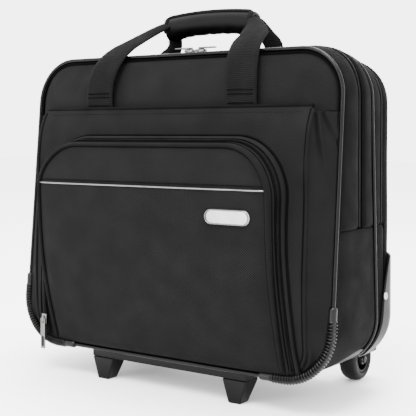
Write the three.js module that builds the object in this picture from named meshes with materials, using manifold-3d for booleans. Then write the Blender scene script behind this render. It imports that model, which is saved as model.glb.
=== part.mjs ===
// Rolling laptop case: a soft-sided business case on two wheels with a telescoping trolley.
// Millimetres, +Z up, -Y is the front. The origin is on the floor under the middle of the case.
import * as THREE from 'three';
import { mergeVertices } from 'three/addons/utils/BufferGeometryUtils.js';
import Module from 'manifold-3d';

const wasm = await Module();
wasm.setup();

// ---------------------------------------------------------------- driving dimensions
const GAP = 0.3;                  // clearance between neighbouring pieces
const CLOTH = 3;                  // thickness of a padded fabric wall
const ARC_STEPS = 6;              // facets in each rounded corner
const SIDE_STEPS = 6;             // facets up each straight side

const CASE = { half: 212, low: 38, high: 380, rTop: 50, rLow: 54 };
const REAR = { half: 212, low: 38, high: 374, rTop: 48, rLow: 54 };
const POCKET = { half: 187, low: 43.5, high: 320, rTop: 6, rLow: 30 };
const FLAP = { half: 157, low: 45, high: 277, rTop: 54, rLow: 12 };
const SEAM_Z = 191;               // level where the side zip ends
const BOARD_HALF = 161;           // half width of the stiff base

const FRONT_Y = -53;              // front face at the top edge
const FRONT_LEAN = 31 / 342;      // the front face runs forward towards the floor
const ZIP_Y = -17;                // plane of the main zip
const MID_Y = 10;                 // seam between main and laptop compartments, at the top edge
const MID_LEAN = 17 / 342;
const BACK_Y = 72;                // outside of the back panel
const BACK_ROUND = 24;            // radius of the upright rear corners
const CROWN_TOP = 6;              // rise of the top gusset at the zip
const CROWN_SIDE = 2;             // swell of the side gussets at the zip

const PANEL_CROWN = 6;            // how far the upper front panel stands forward of its edge
const PIPE = 2.5;                 // half width of a piping cord
const GUARD_PROUD = 3.5;          // the plastic corner guard stands this far out of the fabric
const WHEEL = { x: 153, y: 94, r: 25, width: 22, rimR: 16, boreR: 3.6, axleR: 3.2 };
const WELL = { r: 28.5, side: 2 };
const FOOT = { x: 93, y: -76, topWidth: 31.5, lowWidth: 15.5, topDepth: 26, lowDepth: 17, height: 26 };
const TUBE = { x: 72, y: 60, low: 46, outerTop: 350, travelTop: 371 };
const HANDLE = { y: 17, z: 424, r: 14, bore: 9.5, half: 63, droop: 4, slot: 8 };
const STRAP = { frontX: 100, rearX: 78, gripX: 76, width: 40, thick: 2 };

// ---------------------------------------------------------------- profiles of the soft faces
function polyline(points) {
  return (z) => {
    let i = 0;
    while (i < points.length - 2 && z > points[i + 1][0]) i += 1;
    const [z0, y0] = points[i];
    const [z1, y1] = points[i + 1];
    return y0 + (y1 - y0) * (z - z0) / (z1 - z0);
  };
}
const frontY = (z) => FRONT_Y - FRONT_LEAN * (CASE.high - z);
const midY = (z) => MID_Y + MID_LEAN * (CASE.high - z);
const POCKET_DEPTH = [[42, 0], [80, 11], [123, 18], [210, 18], [287, 17], [320, 16]];
const FLAP_PROFILE = [[42, -86], [95, -101], [150, -112], [200, -116.2], [245, -116.9], [282, -111.4]];
// The organizer's wall is cloth of even width: it splays outward where the pocket gets shallow.
const SPLAY = [[42, 25], [76, 20.5], [139, 14.7], [192, 9.5], [277, 11]];
const INNER_SPLAY = [[108, 0], [165, 0.8], [290, 0.8]];
const pocketY = (z) => frontY(z) + 0.7 - polyline(POCKET_DEPTH)(z);
const flapY = polyline(FLAP_PROFILE);
const FACE_LEVELS = [...new Set([...POCKET_DEPTH, ...FLAP_PROFILE].map(([z]) => z))].sort((a, b) => a - b);

// ---------------------------------------------------------------- solids
function toSolid(geometry) {
  const bare = geometry.clone();
  bare.deleteAttribute('normal');
  bare.deleteAttribute('uv');
  const merged = mergeVertices(bare, 1e-4);
  const vertProperties = new Float32Array(merged.attributes.position.array);
  const triVerts = new Uint32Array(merged.index.array);
  return new wasm.Manifold(new wasm.Mesh({ numProp: 3, vertProperties, triVerts }));
}

function toGeometry(solid) {
  const mesh = solid.getMesh();
  const geometry = new THREE.BufferGeometry();
  geometry.setAttribute('position', new THREE.BufferAttribute(mesh.vertProperties, 3));
  geometry.setIndex(new THREE.BufferAttribute(mesh.triVerts, 1));
  return geometry;
}

const block = (x0, x1, y0, y1, z0, z1) => {
  const box = new THREE.BoxGeometry(x1 - x0, y1 - y0, z1 - z0);
  return box.translate((x0 + x1) / 2, (y0 + y1) / 2, (z0 + z1) / 2);
};
const within = (geometry, keep) => toGeometry(toSolid(geometry).intersect(toSolid(keep)));
const without = (geometry, cut) => toGeometry(toSolid(geometry).subtract(toSolid(cut)));
const joined = (first, second) => toGeometry(toSolid(first).add(toSolid(second)));

function warp(geometry, place) {
  const position = geometry.attributes.position;
  for (let i = 0; i < position.count; i += 1) {
    const [x, y, z] = place(position.getX(i), position.getY(i), position.getZ(i));
    position.setXYZ(i, x, y, z);
  }
  return geometry;
}

// Rounded outline of a case face, counter-clockwise from the lower right corner.
function outline({ half, low, high, rTop, rLow }, inset = 0) {
  const points = [];
  const right = half - inset;
  const bottom = low + inset;
  const top = high - inset;
  const topR = rTop - inset;
  const lowR = rLow - inset;
  const corner = (x, z, r, start) => {
    for (let i = 0; i <= ARC_STEPS; i += 1) {
      const angle = start + (i / ARC_STEPS) * (Math.PI / 2);
      points.push(new THREE.Vector2(x + r * Math.cos(angle), z + r * Math.sin(angle)));
    }
  };
  const side = (x, from, to) => {
    for (let i = 1; i < SIDE_STEPS; i += 1) {
      points.push(new THREE.Vector2(x, from + ((to - from) * i) / SIDE_STEPS));
    }
  };
  corner(right - lowR, bottom + lowR, lowR, -Math.PI / 2);
  side(right, bottom + lowR, top - topR);
  corner(right - topR, top - topR, topR, 0);
  corner(-right + topR, top - topR, topR, Math.PI / 2);
  side(-right, top - topR, bottom + lowR);
  corner(-right + lowR, bottom + lowR, lowR, Math.PI);
  return points;
}

// Extrude an X-Z shape over one unit of depth, from t = 0 at the back to t = 1 at the front.
function unitSolid(shape, steps = 1) {
  return new THREE.ExtrudeGeometry(shape, { depth: 1, steps, bevelEnabled: false }).rotateX(Math.PI / 2);
}
const plateShape = (frame, inset) => new THREE.Shape(outline(frame, inset));
function ringShape(frame, outer, inner) {
  const shape = plateShape(frame, outer);
  shape.holes.push(new THREE.Path(outline(frame, inner)));
  return shape;
}

// Place a unit solid between a back and a front surface, both given as y over z.
function between(geometry, backY, nearY) {
  return warp(geometry, (x, y, z) => [x, backY(z) * (1 + y) + nearY(z) * -y, z]);
}
// Cut a face outline or ring out of the layer between two curved front surfaces.
function layer(shape, backY, nearY, low = FACE_LEVELS[0]) {
  const levels = [low, ...FACE_LEVELS.filter((z) => z > low)];
  const near = levels.map((z) => [nearY(z), z]);
  const back = levels.map((z) => [backY(z), z]).reverse();
  const prism = warp(unitSolid(shape), (x, y, z) => [x, 200 * y, z]);
  return within(prism, sideExtrude([...near, ...back].reverse(), -300, 300));
}
const aboveSeam = block(-300, 300, -2, 2, SEAM_Z + GAP, 500);

// Extrude a Y-Z shape along X.
const SIDEWAYS = new THREE.Matrix4().makeBasis(
  new THREE.Vector3(0, 1, 0), new THREE.Vector3(0, 0, 1), new THREE.Vector3(1, 0, 0),
);
function sideExtrude(points, x0, x1) {
  const shape = new THREE.Shape(points.map(([y, z]) => new THREE.Vector2(y, z)));
  const solid = new THREE.ExtrudeGeometry(shape, { depth: x1 - x0, bevelEnabled: false });
  return solid.applyMatrix4(SIDEWAYS).translate(x0, 0, 0);
}
const mirrored = (geometry) => {
  const flipped = geometry.clone().scale(-1, 1, 1);
  const index = flipped.index ? flipped.index.array : null;
  if (index) {
    for (let i = 0; i < index.length; i += 3) [index[i], index[i + 1]] = [index[i + 1], index[i]];
    return flipped;
  }
  const a = flipped.attributes.position.array;
  for (let i = 0; i < a.length; i += 9) {
    for (let k = 0; k < 3; k += 1) [a[i + k], a[i + 3 + k]] = [a[i + 3 + k], a[i + k]];
  }
  return flipped;
};

// Closed profile of [radius, x] points turned about the X axis.
function turnedAboutX(profile, segments = 24) {
  const points = profile.map(([r, x]) => new THREE.Vector2(r, x));
  points.push(points[0].clone());
  return new THREE.LatheGeometry(points, segments).rotateZ(-Math.PI / 2);
}
function tube(outerR, innerR, z0, z1, x, y, segments = 12) {
  const profile = [[innerR, z0], [outerR, z0], [outerR, z1], [innerR, z1], [innerR, z0]];
  const points = profile.map(([r, z]) => new THREE.Vector2(r, z));
  return new THREE.LatheGeometry(points, segments).rotateX(Math.PI / 2).translate(x, y, 0);
}
const rod = (r, z0, z1, x, y, segments = 16) => {
  const solid = new THREE.CylinderGeometry(r, r, z1 - z0, segments).rotateX(Math.PI / 2);
  return solid.translate(x, y, (z0 + z1) / 2);
};

// A flat ribbon that follows [y, z] points, extruded along X.
function ribbon(points, thick, width) {
  const left = [];
  const right = [];
  points.forEach(([y, z], i) => {
    const before = points[Math.max(i - 1, 0)];
    const after = points[Math.min(i + 1, points.length - 1)];
    const along = new THREE.Vector2(after[0] - before[0], after[1] - before[1]).normalize();
    left.push([y - (along.y * thick) / 2, z + (along.x * thick) / 2]);
    right.unshift([y + (along.y * thick) / 2, z - (along.x * thick) / 2]);
  });
  return sideExtrude([...right, ...left].reverse(), -width / 2, width / 2);
}

// ---------------------------------------------------------------- assembly
const model = new THREE.Group();
function finish(color, roughness, metalness = 0) {
  return new THREE.MeshStandardMaterial({ color, roughness, metalness });
}
const FABRIC = finish(0x161617, 0.85);
const LINING = finish(0x35373a, 0.9);
const WEBBING = finish(0x1b1b1c, 0.8);
const VINYL = finish(0x1c1c1d, 0.35);
const PLASTIC = finish(0x1a1a1b, 0.45);
const RUBBER = finish(0x111111, 0.7);
const PADDING = finish(0x141414, 0.6);
const STEEL = finish(0xb8b9bb, 0.3, 1);
const NICKEL = finish(0xc8c8c8, 0.2, 1);
const ALUMINIUM = finish(0x8e9093, 0.35, 1);

function add(name, geometry, material) {
  const mesh = new THREE.Mesh(geometry, material);
  mesh.name = name;
  model.add(mesh);
}
function addPair(name, geometry, material) {
  add(`${name}_right`, geometry, material);
  add(`${name}_left`, mirrored(geometry), material);
}

// The main compartment's walls swell outward towards the zip.
function swell(geometry, amountAt) {
  return warp(geometry, (x, y, z) => {
    const amount = amountAt(y);
    const rise = (CROWN_TOP * amount * (z - SEAM_Z)) / (CASE.high - SEAM_Z);
    return [x * (1 + (CROWN_SIDE * amount) / CASE.half), y, z + rise];
  });
}
function frontGusset() {
  const band = swell(within(unitSolid(ringShape(CASE, 0, CLOTH)), aboveSeam), (y) => 1 + y);
  return between(band, () => ZIP_Y - 1, (z) => frontY(z) + 4 + GAP);
}
function rearGusset() {
  const band = swell(within(unitSolid(ringShape(CASE, 0, CLOTH)), aboveSeam), (y) => -y);
  return between(band, (z) => midY(z) - PIPE - GAP, () => ZIP_Y + 1);
}
function sidePanel() {
  const corner = block(BOARD_HALF + GAP, 300, -2, 2, 0, SEAM_Z - GAP);
  const wall = within(unitSolid(ringShape(CASE, 0, CLOTH)), corner);
  return between(wall, (z) => midY(z) - PIPE - GAP, (z) => frontY(z) + 6);
}

// The laptop compartment's wall turns in round the upright rear corners.
const turnIn = polyline([[0, 0], [1 / 3, 0], [2 / 3, 0.3], [1, 1]]);
const rearDepth = (t, z) => polyline([[0, midY(z) + PIPE + GAP], [1 / 3, 42], [2 / 3, 63], [1, BACK_Y]])(t);
function turnCorner(geometry, startAt) {
  const middle = (REAR.high + REAR.low) / 2;
  return warp(geometry, (x, y, z) => {
    const t = startAt + (1 - startAt) * (1 + y);
    const inset = BACK_ROUND * turnIn(t);
    const lift = z > middle ? (inset * (z - middle)) / (REAR.high - middle) : 0;
    return [x * (1 - inset / REAR.half), y, z - lift];
  });
}
function rearWall(outset = 0) {
  const wall = unitSolid(ringShape(REAR, -outset, CLOTH), 3);
  const depths = wall.attributes.position.clone();
  turnCorner(wall, 0);
  const position = wall.attributes.position;
  for (let i = 0; i < position.count; i += 1) {
    position.setY(i, rearDepth(1 + depths.getY(i), position.getZ(i)));
  }
  return wall;
}

// Side view of the plastic corner guard: the fabric stops at its front edge.
const GUARD_EDGE = [[66, 158], [60, 132], [54, 104], [51, 80], [53, 56], [57, 30]];
function guardRegion(grow) {
  const front = GUARD_EDGE.map(([y, z]) => [y - grow, z]);
  return sideExtrude([...front, [140, 30], [140, 158 + grow], [66, 158 + grow]], 128 - grow, 260);
}
const FENDER = [
  [60, 38], [60, 96], [74, 104], [90, 92], [104, 73], [114, 54], [118, 40], [118, 32], [70, 32],
];
function guardBack(grow) {
  const [x0, x1, low, high, corner] = [128 - grow, 184 + grow, 30, 150 + grow, 108 + grow];
  const points = [[x0, low], [x1, low], [x1, high], [x0 + 42, high], [x0, corner]];
  const shape = new THREE.Shape(points.map(([x, z]) => new THREE.Vector2(x, z)));
  return between(unitSolid(shape), () => BACK_Y + 2 + grow, () => BACK_Y - CLOTH - 3 - grow);
}
function wheelHousing() {
  const shell = within(rearWall(GUARD_PROUD), guardRegion(0));
  const rearFace = turnCorner(unitSolid(plateShape(REAR, -GUARD_PROUD)), 1);
  const backPlate = within(guardBack(0), between(rearFace, () => 90, () => 50));
  const inner = WHEEL.x - WHEEL.width / 2 - WELL.side;
  const outer = WHEEL.x + WHEEL.width / 2 + WELL.side;
  const fender = sideExtrude(FENDER, inner - 6, outer + 4);
  const lug = new THREE.CylinderGeometry(9, 9, 6, 20).rotateZ(Math.PI / 2);
  lug.translate(inner - 3, WHEEL.y, WHEEL.r);
  const lugNeck = block(inner - 6, inner, WHEEL.y - 9, WHEEL.y + 9, WHEEL.r, 40);
  const body = joined(joined(joined(shell, backPlate), fender), joined(lug, lugNeck));
  const well = new THREE.CylinderGeometry(WELL.r, WELL.r, outer - inner, 24).rotateZ(Math.PI / 2);
  well.translate(WHEEL.x, WHEEL.y, WHEEL.r);
  const below = block(inner, outer, WHEEL.y - WELL.r, WHEEL.y + WELL.r, -5, WHEEL.r);
  const boreR = WHEEL.axleR + GAP;
  const bore = new THREE.CylinderGeometry(boreR, boreR, 40, 16).rotateZ(Math.PI / 2);
  bore.translate(inner - 12, WHEEL.y, WHEEL.r);
  return without(without(without(body, well), below), bore);
}

function backPanel() {
  const plate = turnCorner(unitSolid(plateShape(REAR, CLOTH + GAP)), 1);
  const panel = between(plate, () => BACK_Y, () => BACK_Y - CLOTH);
  const cut = joined(guardBack(GAP), mirrored(guardBack(GAP)));
  return without(without(panel, cut), block(-99.5, 99.5, 40, 80, 341.7, 400));
}
function rearTop() {
  const arch = within(rearWall(), block(-300, 300, -100, 100, 312, 500));
  return without(arch, block(-99.5, 99.5, 46.5, 80, 330, 400));
}
function rearSide() {
  const wall = within(rearWall(), block(BOARD_HALF + GAP, 300, -100, 100, 0, 312 - GAP));
  return without(wall, guardRegion(GAP));
}
function divider() {
  return between(unitSolid(plateShape(REAR, CLOTH + 2)), (z) => midY(z) + 1, (z) => midY(z) - 1);
}
function piping(frame, planeY, cutBelow) {
  const cord = unitSolid(ringShape(frame, -PIPE, CLOTH));
  const kept = cutBelow ? within(cord, block(-300, 300, -2, 2, cutBelow, 500)) : cord;
  return between(kept, (z) => planeY(z) + PIPE, (z) => planeY(z) - PIPE);
}
function frontPiping() {
  const cord = unitSolid(ringShape(CASE, -PIPE, CLOTH));
  return between(cord, (z) => frontY(z) + 4, (z) => frontY(z) - 1.5);
}
function cornerBumper() {
  const sleeve = unitSolid(ringShape(CASE, -PIPE - 2.5, CLOTH + 2));
  const corner = within(sleeve, block(124, 300, -2, 2, 0, 114));
  const placed = between(corner, (z) => frontY(z) + 5.7, (z) => frontY(z) - 4);
  const bore = between(
    unitSolid(ringShape(CASE, -PIPE - GAP, CLOTH + GAP)),
    (z) => frontY(z) + 4 + GAP, (z) => frontY(z) - 1.5 - GAP,
  );
  const behind = (z) => frontY(z) + 40;
  const wall = between(unitSolid(plateShape(CASE, -GAP)), behind, (z) => frontY(z) + 4);
  const panel = between(unitSolid(plateShape(CASE, CLOTH)), behind, (z) => frontY(z) + 3 - GAP);
  return without(without(without(placed, bore), wall), panel);
}
function frontPanel() {
  const face = unitSolid(plateShape(CASE, CLOTH + GAP));
  const plate = between(face, (z) => frontY(z) + 6, (z) => frontY(z) + 3);
  return joined(plate, panelCrown());
}
// A shallow frustum stands for the crown of the upper front panel.
function panelCrown() {
  const corners = [];
  for (const [half, low, high, rise] of [[180, 204, 364, -4], [112, 292, 352, PANEL_CROWN]]) {
    for (const x of [-half, half]) {
      for (const z of [low, high]) corners.push([x, frontY(z) - rise, z]);
    }
  }
  return toGeometry(wasm.Manifold.hull(corners));
}

function slipPocket() {
  return layer(plateShape(POCKET, 0), (z) => pocketY(z) + 2, pocketY);
}
function slipGusset() {
  const walls = layer(ringShape(POCKET, 1, 3), (z) => frontY(z) + 3 - GAP, (z) => pocketY(z) + 2 + GAP, 66);
  return within(walls, block(0, 300, -300, 300, 0, 312));
}
function organizerGusset() {
  const nearY = (z) => flapY(z) + 3 + GAP;
  const straight = layer(ringShape(FLAP, -3.5, -0.5), (z) => pocketY(z) - GAP, nearY, 66);
  return warp(straight, splayed(nearY));
}
// Moves a point of the straight wall away from the flap's outline, more so towards the back.
function splayed(nearY) {
  const cornerX = FLAP.half - FLAP.rTop;
  return (x, y, z) => {
    const dx = x - Math.min(Math.max(x, -cornerX), cornerX);
    const dz = z - Math.min(z, FLAP.high - FLAP.rTop);
    const distance = Math.hypot(dx, dz);
    const back = (y - nearY(z)) / (pocketY(z) - GAP - nearY(z));
    const share = distance > FLAP.rTop + 2 ? 1 : polyline(INNER_SPLAY)(Math.min(Math.max(z, 108), 290));
    const out = polyline(SPLAY)(z) * back * share;
    const newZ = z + (dz / distance) * out;
    return [x + (dx / distance) * out, y + back * (pocketY(newZ) - pocketY(z)), newZ];
  };
}
function flapPanel() {
  return layer(plateShape(FLAP, 0), (z) => flapY(z) + 2.5, flapY);
}
function flapPiping() {
  const cord = layer(ringShape(FLAP, -4, -GAP), (z) => flapY(z) + 3, (z) => flapY(z) - 1);
  return within(cord, block(-300, 300, -300, 300, 50, 400));
}
function badge() {
  const shape = new THREE.Shape();
  shape.absarc(19.4, 0, 8.1, -Math.PI / 2, Math.PI / 2);
  shape.absarc(-19.4, 0, 8.1, Math.PI / 2, (3 * Math.PI) / 2);
  const plate = new THREE.ExtrudeGeometry(shape, { depth: 1.8, bevelEnabled: false, curveSegments: 8 });
  return plate.rotateX(Math.PI / 2).translate(111.7, -117.2, 204.7);
}

function frontStrap() {
  const route = [
    [-66, 322], [-68, 340], [-69, 358], [-66.5, 374], [-60, 386], [-48, 394], [-30, 400.5], [-2, 408],
  ];
  const strip = ribbon(route, STRAP.thick, STRAP.width);
  return gatherStrap(strip, STRAP.frontX, 384, 408);
}
function rearStrap() {
  const route = [[24, 377.5], [25, 386], [24.5, 396], [22, 407]];
  const strip = ribbon(route, STRAP.thick, STRAP.width);
  return gatherStrap(strip, STRAP.rearX, 377.5, 407);
}
// A strap narrows and leans inward on its way up to the grip.
function gatherStrap(strip, lowX, zLow, zHigh) {
  return warp(strip, (x, y, z) => {
    const t = Math.min(Math.max((z - zLow) / (zHigh - zLow), 0), 1);
    return [lowX + (STRAP.gripX - lowX) * t + x * (1 - 0.5 * t), y, z];
  });
}
function bowed(geometry) {
  return warp(geometry, (x, y, z) => [x, y, z - HANDLE.droop * (x / HANDLE.half) ** 2]);
}
function arcPoints(r, from, to, count) {
  return Array.from({ length: count + 1 }, (_, i) => {
    const angle = from + ((to - from) * i) / count;
    return new THREE.Vector2(HANDLE.y + r * Math.cos(angle), HANDLE.z + r * Math.sin(angle));
  });
}
function gripWrap() {
  const outer = Math.asin(HANDLE.slot / HANDLE.r);
  const inner = Math.asin(HANDLE.slot / HANDLE.bore);
  const outside = arcPoints(HANDLE.r, outer, 2 * Math.PI - outer, 18);
  const inside = arcPoints(HANDLE.bore, 2 * Math.PI - inner, inner, 18);
  const shape = new THREE.Shape([...outside, ...inside]);
  const options = { depth: 2 * HANDLE.half, steps: 6, bevelEnabled: false };
  const solid = new THREE.ExtrudeGeometry(shape, options).applyMatrix4(SIDEWAYS);
  return bowed(solid.translate(-HANDLE.half, 0, 0));
}
function gripStrap(dy, half) {
  const bar = new THREE.BoxGeometry(2 * half, 2.4, 7.5, 6, 1, 1);
  return bowed(bar.translate(0, HANDLE.y + dy, HANDLE.z - 0.4));
}

function foot() {
  const f = FOOT;
  const shape = new THREE.Shape([
    new THREE.Vector2(f.x - f.lowWidth / 2, 0),
    new THREE.Vector2(f.x + f.lowWidth / 2, 0),
    new THREE.Vector2(f.x + f.topWidth / 2, f.height - GAP),
    new THREE.Vector2(f.x - f.topWidth / 2, f.height - GAP),
  ]);
  const depthAt = (z) => f.lowDepth + ((f.topDepth - f.lowDepth) * z) / f.height;
  return between(unitSolid(shape), (z) => f.y + depthAt(z), () => f.y);
}

function trolleyBezel() {
  const body = without(block(-99, 99, 47, 71.5, 342, 371), block(-48, 48, 40, 80, 357, 380));
  const seatTop = TUBE.outerTop + GAP;
  const hole = (x) => joined(rod(6.8, 335, 380, x, TUBE.y, 12), rod(8.4, 335, seatTop, x, TUBE.y, 12));
  return without(without(body, hole(TUBE.x)), hole(-TUBE.x));
}
function trolleyGrip() {
  const shape = new THREE.Shape();
  const [half, low, high, r] = [92, 375, 387, 6];
  shape.absarc(half - r, low + r, r, -Math.PI / 2, 0);
  shape.absarc(half - r, high - r, r, 0, Math.PI / 2);
  shape.absarc(-half + r, high - r, r, Math.PI / 2, Math.PI);
  shape.absarc(-half + r, low + r, r, Math.PI, (3 * Math.PI) / 2);
  const bevel = { bevelEnabled: true, bevelSize: 1.5, bevelThickness: 1.5, bevelSegments: 1 };
  const bar = new THREE.ExtrudeGeometry(shape, { depth: 20, curveSegments: 4, ...bevel });
  bar.rotateX(Math.PI / 2).translate(0, TUBE.y + 10, 0);
  return without(bar, block(-16, 16, TUBE.y - 6.5, TUBE.y + 6.5, 380, 400));
}

// A slider on the zip's tape: it travels along X and its bridge stands up in Z.
const PULL_RISE = 3.8;
const zipSlider = () => joined(block(-6, 6, -3.6, 3.6, 0, 3), block(-3.5, 3.5, -1.5, 1.5, 2.5, 5.5));
// A flat pull that lies along +X from a slider, whose bridge stands in its open end.
const zipPull = (reach) => without(block(-1, reach, -3.4, 3.4, 0, 1.6), block(-4.5, 4.7, -1.9, 1.9, -1, 3));

// ---------------------------------------------------------------- case body
add('back_panel', backPanel(), FABRIC);
add('rear_top_gusset', rearTop(), FABRIC);
addPair('rear_side', rearSide(), FABRIC);
add('main_rear_gusset', rearGusset(), FABRIC);
addPair('side_panel', sidePanel(), FABRIC);
const boardTop = CASE.low + CLOTH;
const boardFront = block(-BOARD_HALF, BOARD_HALF, -76.5, 52, CASE.low, boardTop);
add('base_board', joined(boardFront, block(-127.4, 127.4, 50, 71, CASE.low, boardTop)), PLASTIC);
add('divider_panel', divider(), LINING);
add('trolley_lining', block(-150, 150, 49.5, 51, 46, 340), LINING);
add('rear_piping', piping(CASE, midY, 60), VINYL);
addPair('wheel_housing', wheelHousing(), PLASTIC);
const axle = new THREE.CylinderGeometry(WHEEL.axleR, WHEEL.axleR, 32, 16).rotateZ(Math.PI / 2);
addPair('wheel_axle', axle.translate(WHEEL.x - 3.5, WHEEL.y, WHEEL.r), STEEL);
add('foot_bar', block(-109, 109, FOOT.y, FOOT.y + 26, FOOT.height, CASE.low - 2.5 - 0.2), PLASTIC);
addPair('foot', foot(), PLASTIC);
add('trolley_bezel', trolleyBezel(), PLASTIC);
for (const [name, side] of [['right', 1], ['left', -1]]) {
  const x = side * TUBE.x;
  add(`trolley_outer_tube_${name}`, tube(8, 6.9, TUBE.low, TUBE.outerTop, x, TUBE.y), ALUMINIUM);
  add(`trolley_middle_tube_${name}`, tube(6.3, 5.4, TUBE.low + 4, TUBE.travelTop, x, TUBE.y), ALUMINIUM);
  add(`trolley_inner_tube_${name}`, rod(4.8, TUBE.low + 8, 373.2, x, TUBE.y, 12), ALUMINIUM);
}
add('trolley_bracket', block(-90, 90, 52, 68.5, CASE.low + CLOTH + GAP, TUBE.low - GAP), PLASTIC);
add('trolley_grip', trolleyGrip(), PLASTIC);
add('release_button', block(-15.5, 15.5, TUBE.y - 6, TUBE.y + 6, 384, 389.5), PLASTIC);

// ---------------------------------------------------------------- wheels
const treadHalf = WHEEL.width / 2;
const tyreProfile = [
  [WHEEL.rimR, -treadHalf + 1], [WHEEL.r - 5, -treadHalf], [WHEEL.r - 1.5, -treadHalf + 3], [WHEEL.r, -4],
  [WHEEL.r, 4], [WHEEL.r - 1.5, treadHalf - 3], [WHEEL.r - 5, treadHalf], [WHEEL.rimR, treadHalf - 1],
];
const hubR = WHEEL.rimR - GAP;
const hubProfile = [
  [WHEEL.boreR, -treadHalf + 0.5], [7, -treadHalf + 0.5], [8, -treadHalf + 4], [hubR, -treadHalf + 3],
  [hubR, treadHalf - 3], [8, treadHalf - 4], [7, treadHalf - 0.5], [WHEEL.boreR, treadHalf - 0.5],
];
addPair('wheel_tyre', turnedAboutX(tyreProfile).translate(WHEEL.x, WHEEL.y, WHEEL.r), RUBBER);
addPair('wheel_hub', turnedAboutX(hubProfile).translate(WHEEL.x, WHEEL.y, WHEEL.r), PLASTIC);

// ---------------------------------------------------------------- front section
add('front_panel', frontPanel(), FABRIC);
add('front_piping', frontPiping(), VINYL);
addPair('corner_bumper', cornerBumper(), PLASTIC);
add('front_gusset', frontGusset(), FABRIC);
add('slip_pocket', slipPocket(), FABRIC);
addPair('slip_gusset', slipGusset(), FABRIC);
add('organizer_gusset', organizerGusset(), FABRIC);
addPair('front_strap', frontStrap(), WEBBING);

// ---------------------------------------------------------------- organizer flap
add('flap_panel', flapPanel(), FABRIC);
add('flap_piping', flapPiping(), FABRIC);
add('silver_strip', block(-154, 154, -118.6, -117.2, 232, 234.2), NICKEL);
add('badge', badge(), STEEL);

// ---------------------------------------------------------------- carry handle
addPair('rear_strap', rearStrap(), WEBBING);
add('grip_wrap', gripWrap(), PADDING);
add('front_grip_strap', gripStrap(-4, 68), WEBBING);
add('rear_grip_strap', gripStrap(4, 68), WEBBING);

// ---------------------------------------------------------------- zip sliders and pulls
const topZ = CASE.high + CROWN_TOP + GAP;
const mainX = 8;
addPair('main_slider', zipSlider().translate(mainX, ZIP_Y, topZ), NICKEL);
addPair('main_pull', zipPull(20).translate(mainX, ZIP_Y, topZ + PULL_RISE), NICKEL);
const rearZ = REAR.high + GAP;
add('laptop_slider', zipSlider().translate(-40, 38, rearZ), NICKEL);
add('laptop_pull', zipPull(20).translate(-40, 38, rearZ + PULL_RISE), NICKEL);
// On the left leg of the organizer zip the slider faces the front and its pull hangs down.
const hang = new THREE.Matrix4().makeBasis(
  new THREE.Vector3(0, 0, -1), new THREE.Vector3(1, 0, 0), new THREE.Vector3(0, -1, 0),
);
function hung(geometry, away) {
  return geometry.applyMatrix4(hang).translate(-FLAP.half - 14, -91.8 - away, 66);
}
add('organizer_slider', hung(zipSlider(), 0), NICKEL);
add('organizer_pull', hung(zipPull(36), PULL_RISE), NICKEL);

export default model;
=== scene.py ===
import math

import bmesh
import bpy
import numpy as np
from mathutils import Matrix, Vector


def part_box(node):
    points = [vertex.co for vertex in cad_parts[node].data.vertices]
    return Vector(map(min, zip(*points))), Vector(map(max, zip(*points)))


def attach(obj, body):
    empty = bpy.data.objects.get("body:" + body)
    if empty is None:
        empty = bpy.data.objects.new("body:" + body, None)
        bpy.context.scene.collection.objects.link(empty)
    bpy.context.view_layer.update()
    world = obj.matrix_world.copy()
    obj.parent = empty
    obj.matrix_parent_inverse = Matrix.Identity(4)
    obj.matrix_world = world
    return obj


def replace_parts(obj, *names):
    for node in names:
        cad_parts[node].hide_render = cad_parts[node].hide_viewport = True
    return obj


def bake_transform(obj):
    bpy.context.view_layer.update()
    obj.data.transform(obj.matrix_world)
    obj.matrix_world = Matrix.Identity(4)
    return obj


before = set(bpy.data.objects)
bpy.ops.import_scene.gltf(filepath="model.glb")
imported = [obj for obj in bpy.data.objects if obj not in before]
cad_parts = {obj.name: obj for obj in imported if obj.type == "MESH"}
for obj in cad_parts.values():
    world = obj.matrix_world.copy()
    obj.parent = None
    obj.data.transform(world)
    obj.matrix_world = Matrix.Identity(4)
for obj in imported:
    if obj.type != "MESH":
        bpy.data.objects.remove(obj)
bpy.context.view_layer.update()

MM = 0.001
SIDES = (("right", 1), ("left", -1))
X_AXIS = (1.0, 0.0, 0.0)
Y_AXIS = (0.0, 1.0, 0.0)
Z_AXIS = (0.0, 0.0, 1.0)
FRONT = "front_section"


def node_box(name):
    low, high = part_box(name)
    return np.array(low) / MM, np.array(high) / MM


# ---- measures from the frame, in mm
ring_low, ring_high = node_box("rear_piping")
PIPE = 2.5  # radius of the piping
HALF = ring_high[0] - PIPE  # half width of the case
HIGH = ring_high[2] - PIPE  # top edge of the case
LOW = node_box("base_board")[0][2]  # underside of the case
SEAM_Z = node_box("side_panel_right")[1][2] + 0.3
LEAN = 31 / 342  # how far the front leans out for each mm down
FRONT_TOP_Y = node_box("front_piping")[1][1] - 4
ZIP_Y = (node_box("front_gusset")[1][1] + node_box("main_rear_gusset")[0][1]) / 2
MID_TOP_Y = ring_low[1] + PIPE
MID_LEAN = 17 / 342  # how far the middle piping leans the other way
BACK_Y = node_box("back_panel")[1][1]
REAR_HIGH = node_box("rear_top_gusset")[1][2]
LAPTOP_ZIP_Y = 38.0  # depth of the laptop compartment's zip
BEZEL = node_box("trolley_bezel")
R_TOP, R_LOW, REAR_R_TOP = 50, 54, 48  # corner radii of the outline
BACK_ROUND = 24  # radius between the walls and the back
POCKET_HALF = node_box("slip_pocket")[1][0]
POCKET_LOW, POCKET_HIGH = node_box("slip_pocket")[0][2], node_box("slip_pocket")[1][2]
FLAP_HALF = node_box("flap_panel")[1][0]
FLAP_HIGH = node_box("flap_panel")[1][2]
CLOTH = 2.2  # thickness of the walls and the flap
GUARD_OUT = 4.3  # how far the rear corner guards stand out


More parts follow.
